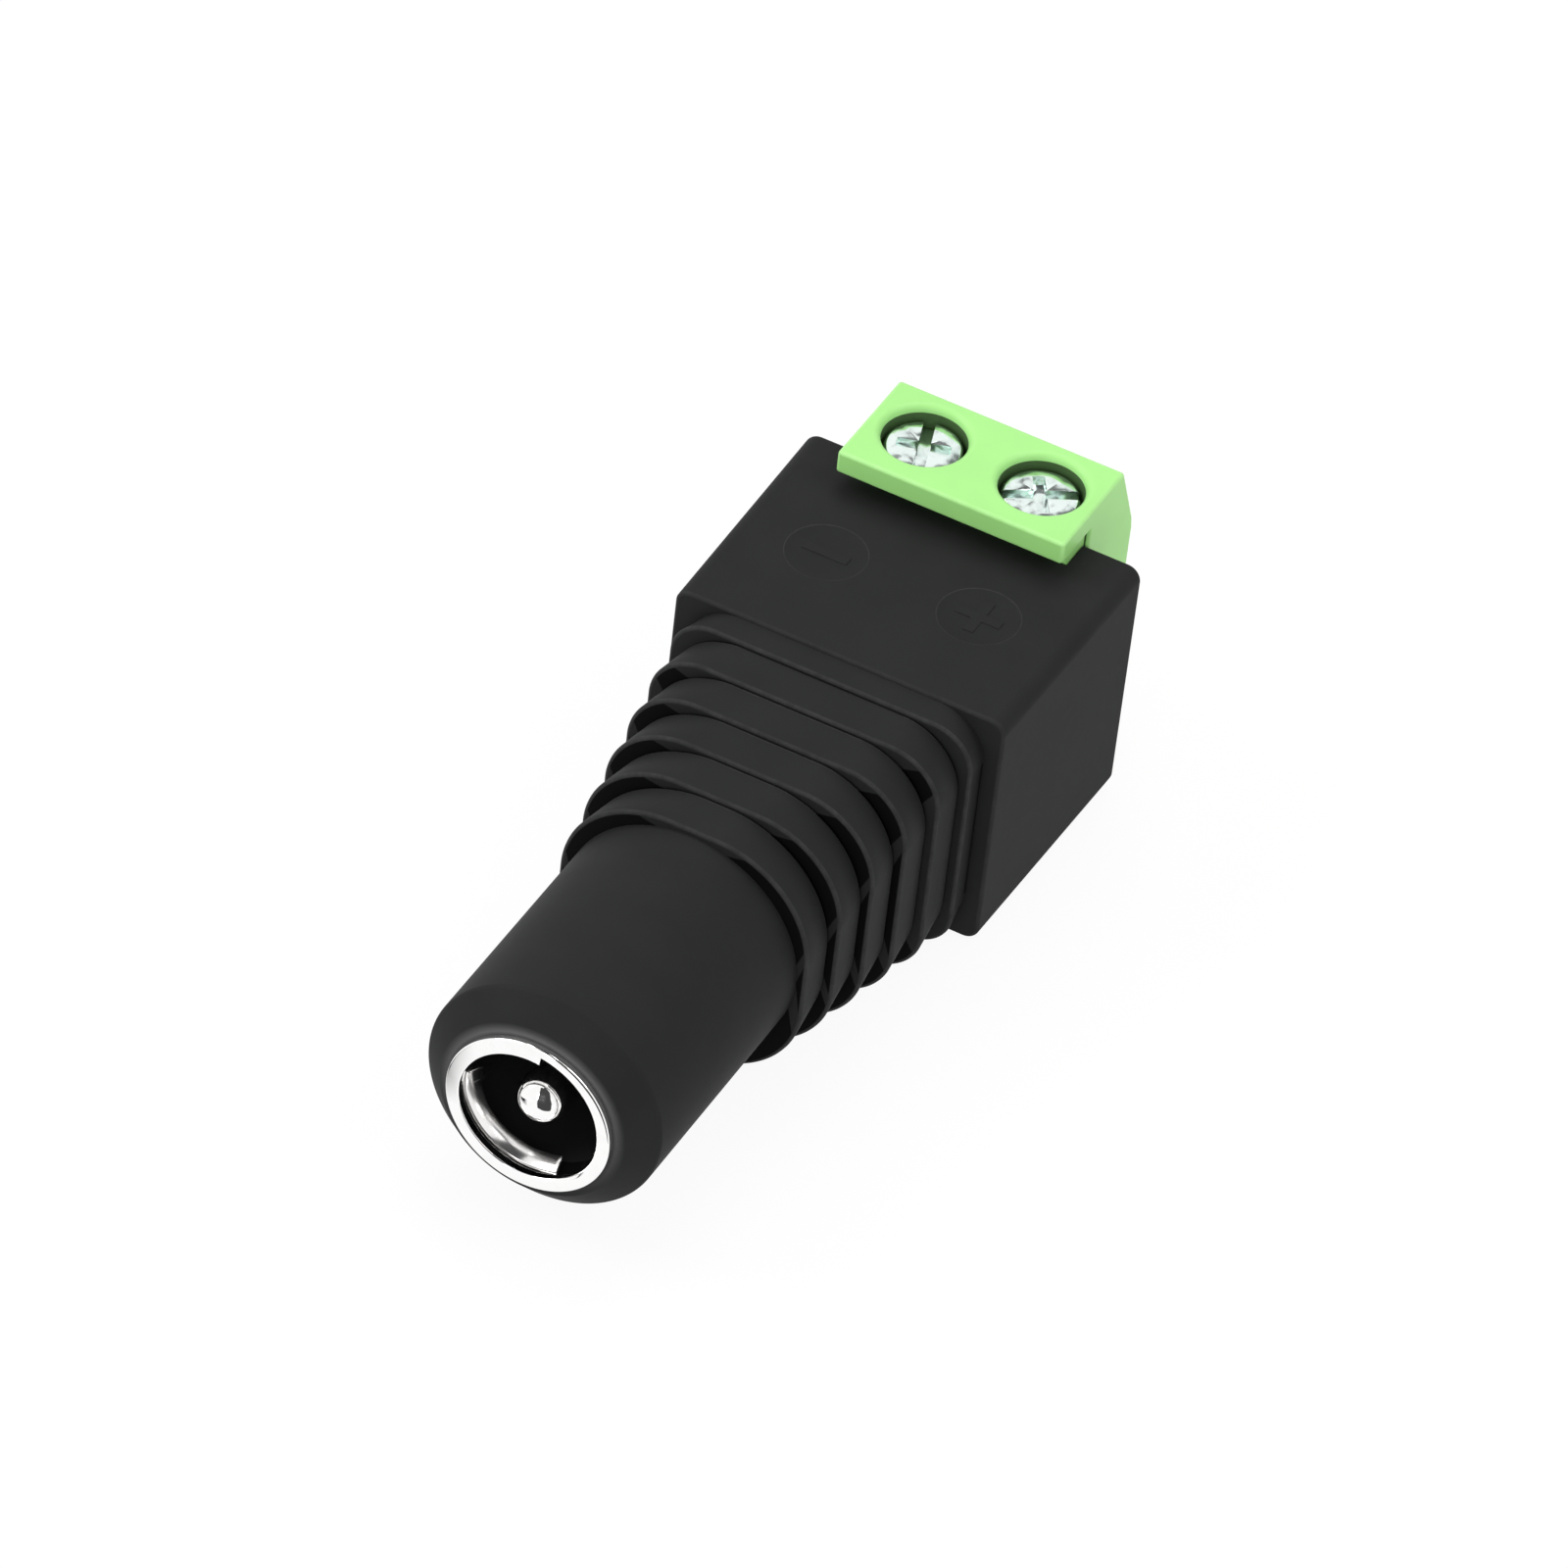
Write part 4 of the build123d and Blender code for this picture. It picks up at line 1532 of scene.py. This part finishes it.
@dataclass
class Studio:
    """Pale floor, soft lamps, dark cards and the photograph's viewpoint."""

    floor_level: float = -5.70
    floor_reach: float = 1500.0
    azimuth: float = 23.517
    elevation: float = 41.487
    roll: float = 6.985
    distance: float = 423.991
    shift_right: float = -9.280
    shift_up: float = -11.975
    focal: float = 270.0
    card_lift: float = 0.1
    card_middle: float = -5.6
    arch_start: float = 9.0
    arch_start_half_width: float = 5.0
    arch_radius: float = 300.0
    arch_half_width: float = 165.0
    arch_rise: int = 135
    arch_step: int = 15
    arch_narrowing: float = 0.95
    arch_brightness: float = 0.06
    card_brightness: float = 0.01
    lamp_target: Place = (0.0, 18.0, 0.0)

    def _world(self) -> None:
        """Makes an even pale room."""
        world = bpy.data.worlds.new("studio_room")
        world.use_nodes = True
        bpy.context.scene.world = world
        world.node_tree.nodes.clear()
        tree = Tree(world.node_tree)
        light = {"Color": WHITE, "Strength": 0.45 + 0.55 * tree.seen()}
        background = tree.add("ShaderNodeBackground", None, light)
        tree.add("ShaderNodeOutputWorld", None, {"Surface": background})

    def _floor(self) -> None:
        """Makes a wide white floor that keeps a soft shadow and is clear from below."""
        surface = Surface("studio_floor")
        cloud = surface.noise(40.0, detail=1.0)
        colour = surface.blend(cloud, (0.84, 0.84, 0.84, 1.0), (0.86, 0.86, 0.86, 1.0))
        matte = surface.add("ShaderNodeBsdfDiffuse", None, {"Color": colour})
        glow = surface.add("ShaderNodeEmission", None, {"Color": WHITE, "Strength": 1.0})
        mixed = surface.add("ShaderNodeMixShader", None, {0: surface.seen() * 0.92, 1: matte, 2: glow})
        clear = surface.add("ShaderNodeBsdfTransparent")
        below = surface.add("ShaderNodeNewGeometry").output("Backfacing")
        sided = surface.add("ShaderNodeMixShader", None, {0: below, 1: mixed, 2: clear})
        surface.add("ShaderNodeOutputMaterial", None, {"Surface": sided})
        reach, level = self.floor_reach, self.floor_level
        shape = bmesh.new()
        corners = [(-reach, -reach), (reach, -reach), (reach, reach), (-reach, reach)]
        shape.faces.new([shape.verts.new((x, y, level)) for x, y in corners])
        floor = from_bmesh("studio_floor", shape)
        if floor.data.polygons[0].normal.z < 0:
            floor.data.flip_normals()
        floor.data.materials.append(surface.material)

    def _card(
        self, name: str, corners: Sequence[Sequence[float]], least: float, fade: Point | None = None
    ) -> None:
        """Makes a dark card that only shiny surfaces see, as a studio uses to draw metal, or as a painted
        shadow on the floor.

        Args:
            name: Name of the new object.
            corners: Its corners in order.
            least: Its brightness where it is darkest.
            fade: Where it is darkest and where it has faded to white, as X plus the distance in Y from
                card_middle, or None where it is dark all over.
        """
        surface = Surface(name)
        strength: Any = least
        if fade:
            place = surface.add("ShaderNodeSeparateXYZ", None, {0: surface.place})
            off_middle = (place.output("Y") / MM - self.card_middle).math("ABSOLUTE")
            strength = (place.output("X") / MM + off_middle).between(*fade) * (1 - least) + least
        dark = surface.add("ShaderNodeEmission", None, {"Color": WHITE, "Strength": strength})
        surface.add("ShaderNodeOutputMaterial", None, {"Surface": dark})
        shape = bmesh.new()
        shape.faces.new([shape.verts.new(corner) for corner in corners])
        card = from_bmesh(name, shape)
        card.data.materials.append(surface.material)
        card.visible_camera = card.visible_diffuse = card.visible_shadow = card.visible_transmission = False

    def _cards(self) -> None:
        """Places an arch of cards behind the viewer, one above the rear, and one on the floor at the left
        that is a painted shadow in reflections.
        """
        level = self.floor_level + self.card_lift
        turn = math.radians(self.azimuth)
        out = Vector((math.sin(turn), -math.cos(turn), 0))
        side = Vector((math.cos(turn), math.sin(turn), 0))
        low = Vector((0, 0, level))
        arch = [
            (out * self.arch_start + low, self.arch_start_half_width),
            (out * self.arch_radius + low, self.arch_half_width),
        ]
        for rise in range(self.arch_step, self.arch_rise + 1, self.arch_step):
            swing = math.radians(rise)
            middle = out * (self.arch_radius * math.cos(swing))
            middle += Vector((0, 0, self.arch_radius * math.sin(swing)))
            arch.append((middle, self.arch_half_width - self.arch_narrowing * rise))
        for index, ((near, near_half), (far, far_half)) in enumerate(zip(arch, arch[1:])):
            near_side, far_side = side * near_half, side * far_half
            corners = [near - near_side, near + near_side, far + far_side, far - far_side]
            self._card(f"viewer_card_{index}", corners, self.arch_brightness)
        rear = [(-70, 240, 190), (130, 240, 190), (130, 240, 420), (-70, 240, 420)]
        self._card("rear_card", rear, self.card_brightness)
        # The floor card, darkest beside the mouth, is a painted shadow on the floor for the metal to show in
        # its reflection.
        floor = [(-13, -14, level), (-3.5, -14, level), (-3.5, 4, level), (-13, 4, level)]
        self._card("floor_shadow_card", floor, self.card_brightness, fade=(-9.0, -4.0))

    def _lamp(self, name: str, place: Place, size: float, power: float) -> None:
        """Makes a square soft lamp that faces the object.

        Args:
            name: Name of the new object.
            place: Where it stands.
            size: Length of its side.
            power: Its power in watts.
        """
        data = bpy.data.lights.new(name, "AREA")
        data.shape = "SQUARE"
        data.size = size * MM
        data.energy = power
        lamp = bpy.data.objects.new(name, data)
        bpy.context.scene.collection.objects.link(lamp)
        lamp.location = Vector(place) * MM
        aim = Vector(self.lamp_target) * MM - lamp.location
        lamp.rotation_euler = aim.to_track_quat("-Z", "Y").to_euler()

    def _camera(self) -> None:
        """Makes the viewpoint, from its measured angles."""
        az, el, roll = (math.radians(v) for v in (self.azimuth, self.elevation, self.roll))
        forward = Vector((-math.sin(az) * math.cos(el), math.cos(az) * math.cos(el), -math.sin(el)))
        level_right = forward.cross(Vector((0, 0, 1))).normalized()
        level_up = level_right.cross(forward)
        right = math.cos(roll) * level_right + math.sin(roll) * level_up
        up = math.cos(roll) * level_up - math.sin(roll) * level_right
        place = -(self.shift_right * right + self.shift_up * up + self.distance * forward) * MM
        data = bpy.data.cameras.new("viewpoint")
        data.lens = self.focal
        data.sensor_width = 36.0
        data.clip_start = 0.01
        data.clip_end = 20.0
        camera = bpy.data.objects.new("viewpoint", data)
        bpy.context.scene.collection.objects.link(camera)
        turn = Matrix((right, up, -forward)).transposed().to_4x4()
        camera.matrix_world = Matrix.Translation(place) @ turn
        bpy.context.scene.camera = camera

    def build(self) -> None:
        """Sets the stage."""
        self._world()
        self._floor()
        self._camera()
        self._cards()
        self._lamp("key_lamp", (-60.0, 180.0, 420.0), size=260.0, power=0.95)
        self._lamp("left_lamp", (-300.0, -80.0, 260.0), size=200.0, power=0.70)
        self._lamp("right_lamp", (240.0, 40.0, 290.0), size=200.0, power=0.42)
        self._lamp("front_lamp", (40.0, -330.0, 130.0), size=200.0, power=0.52)
        bpy.context.scene.view_settings.view_transform = "Standard"


def dress_node(node: str, finish: Finish) -> None:
    """Gives a shown CAD node its material."""
    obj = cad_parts[node]
    if not obj.material_slots:
        obj.data.materials.append(finish)
    for slot in obj.material_slots:
        slot.material = finish
    log.info("%s keeps its CAD mesh", node)


def screw_plating(side: Side) -> Finish:
    """The bright zinc of a pole's screw and clamp, with lines that run round the screw's axis."""
    return PlatedMetal(
        f"{side.label}_screw_plating",
        colour=(0.84, 0.93, 0.90),
        dulled=(0.30, 0.47, 0.41),
        roughness=0.16,
        spread=0.08,
        spindle=Spindle.SCREW,
        centre=(side.x, SCREW_Y, 0.0),
        dent_size=0.9,
        dent_depth=0.09,
    ).material()


def main() -> None:
    """Builds the looks piece by piece."""
    logging.basicConfig(level=logging.INFO, format="%(name)s: %(message)s")
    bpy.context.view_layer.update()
    black = MouldedPlastic(
        "black_moulding",
        colour=(0.0172, 0.0174, 0.0177),
        worn_glint_colour=(0.046, 0.046, 0.046),
        roughness=0.58,
        gloss=0.05,
        collar_radius=3.52,
    ).material()
    green = MouldedPlastic(
        "green_moulding",
        colour=(0.325, 0.68, 0.21),
        worn_glint_colour=(0.42, 0.76, 0.30),
        roughness=0.42,
        gloss=0.26,
        mottling=0.02,
    ).material()
    nickel = PlatedMetal("nickel_plating", (0.97, 0.965, 0.96), (0.88, 0.87, 0.86), 0.05, 0.05).material()
    satin = PlatedMetal("satin_nickel", (0.90, 0.89, 0.88), (0.78, 0.77, 0.75), 0.17, 0.06).material()
    brass = PlatedMetal("tinned_brass", (0.74, 0.67, 0.48), (0.60, 0.52, 0.36), 0.25, 0.15).material()
    Housing().build(black)
    Socket().build(black, nickel, satin)
    TerminalBlock().build(green)
    for side, slot_turn in ((Side.LEFT, 108.0), (Side.RIGHT, 32.0)):
        steel = screw_plating(side)
        TerminalScrew(side, slot_turn).build(steel)
        ClampCage(side).build(steel)
    dress_node("pin_washer", nickel)
    dress_node("left_contact_bar", brass)
    dress_node("right_contact_bar", brass)
    Studio().build()


if __name__ == "__main__":
    main()
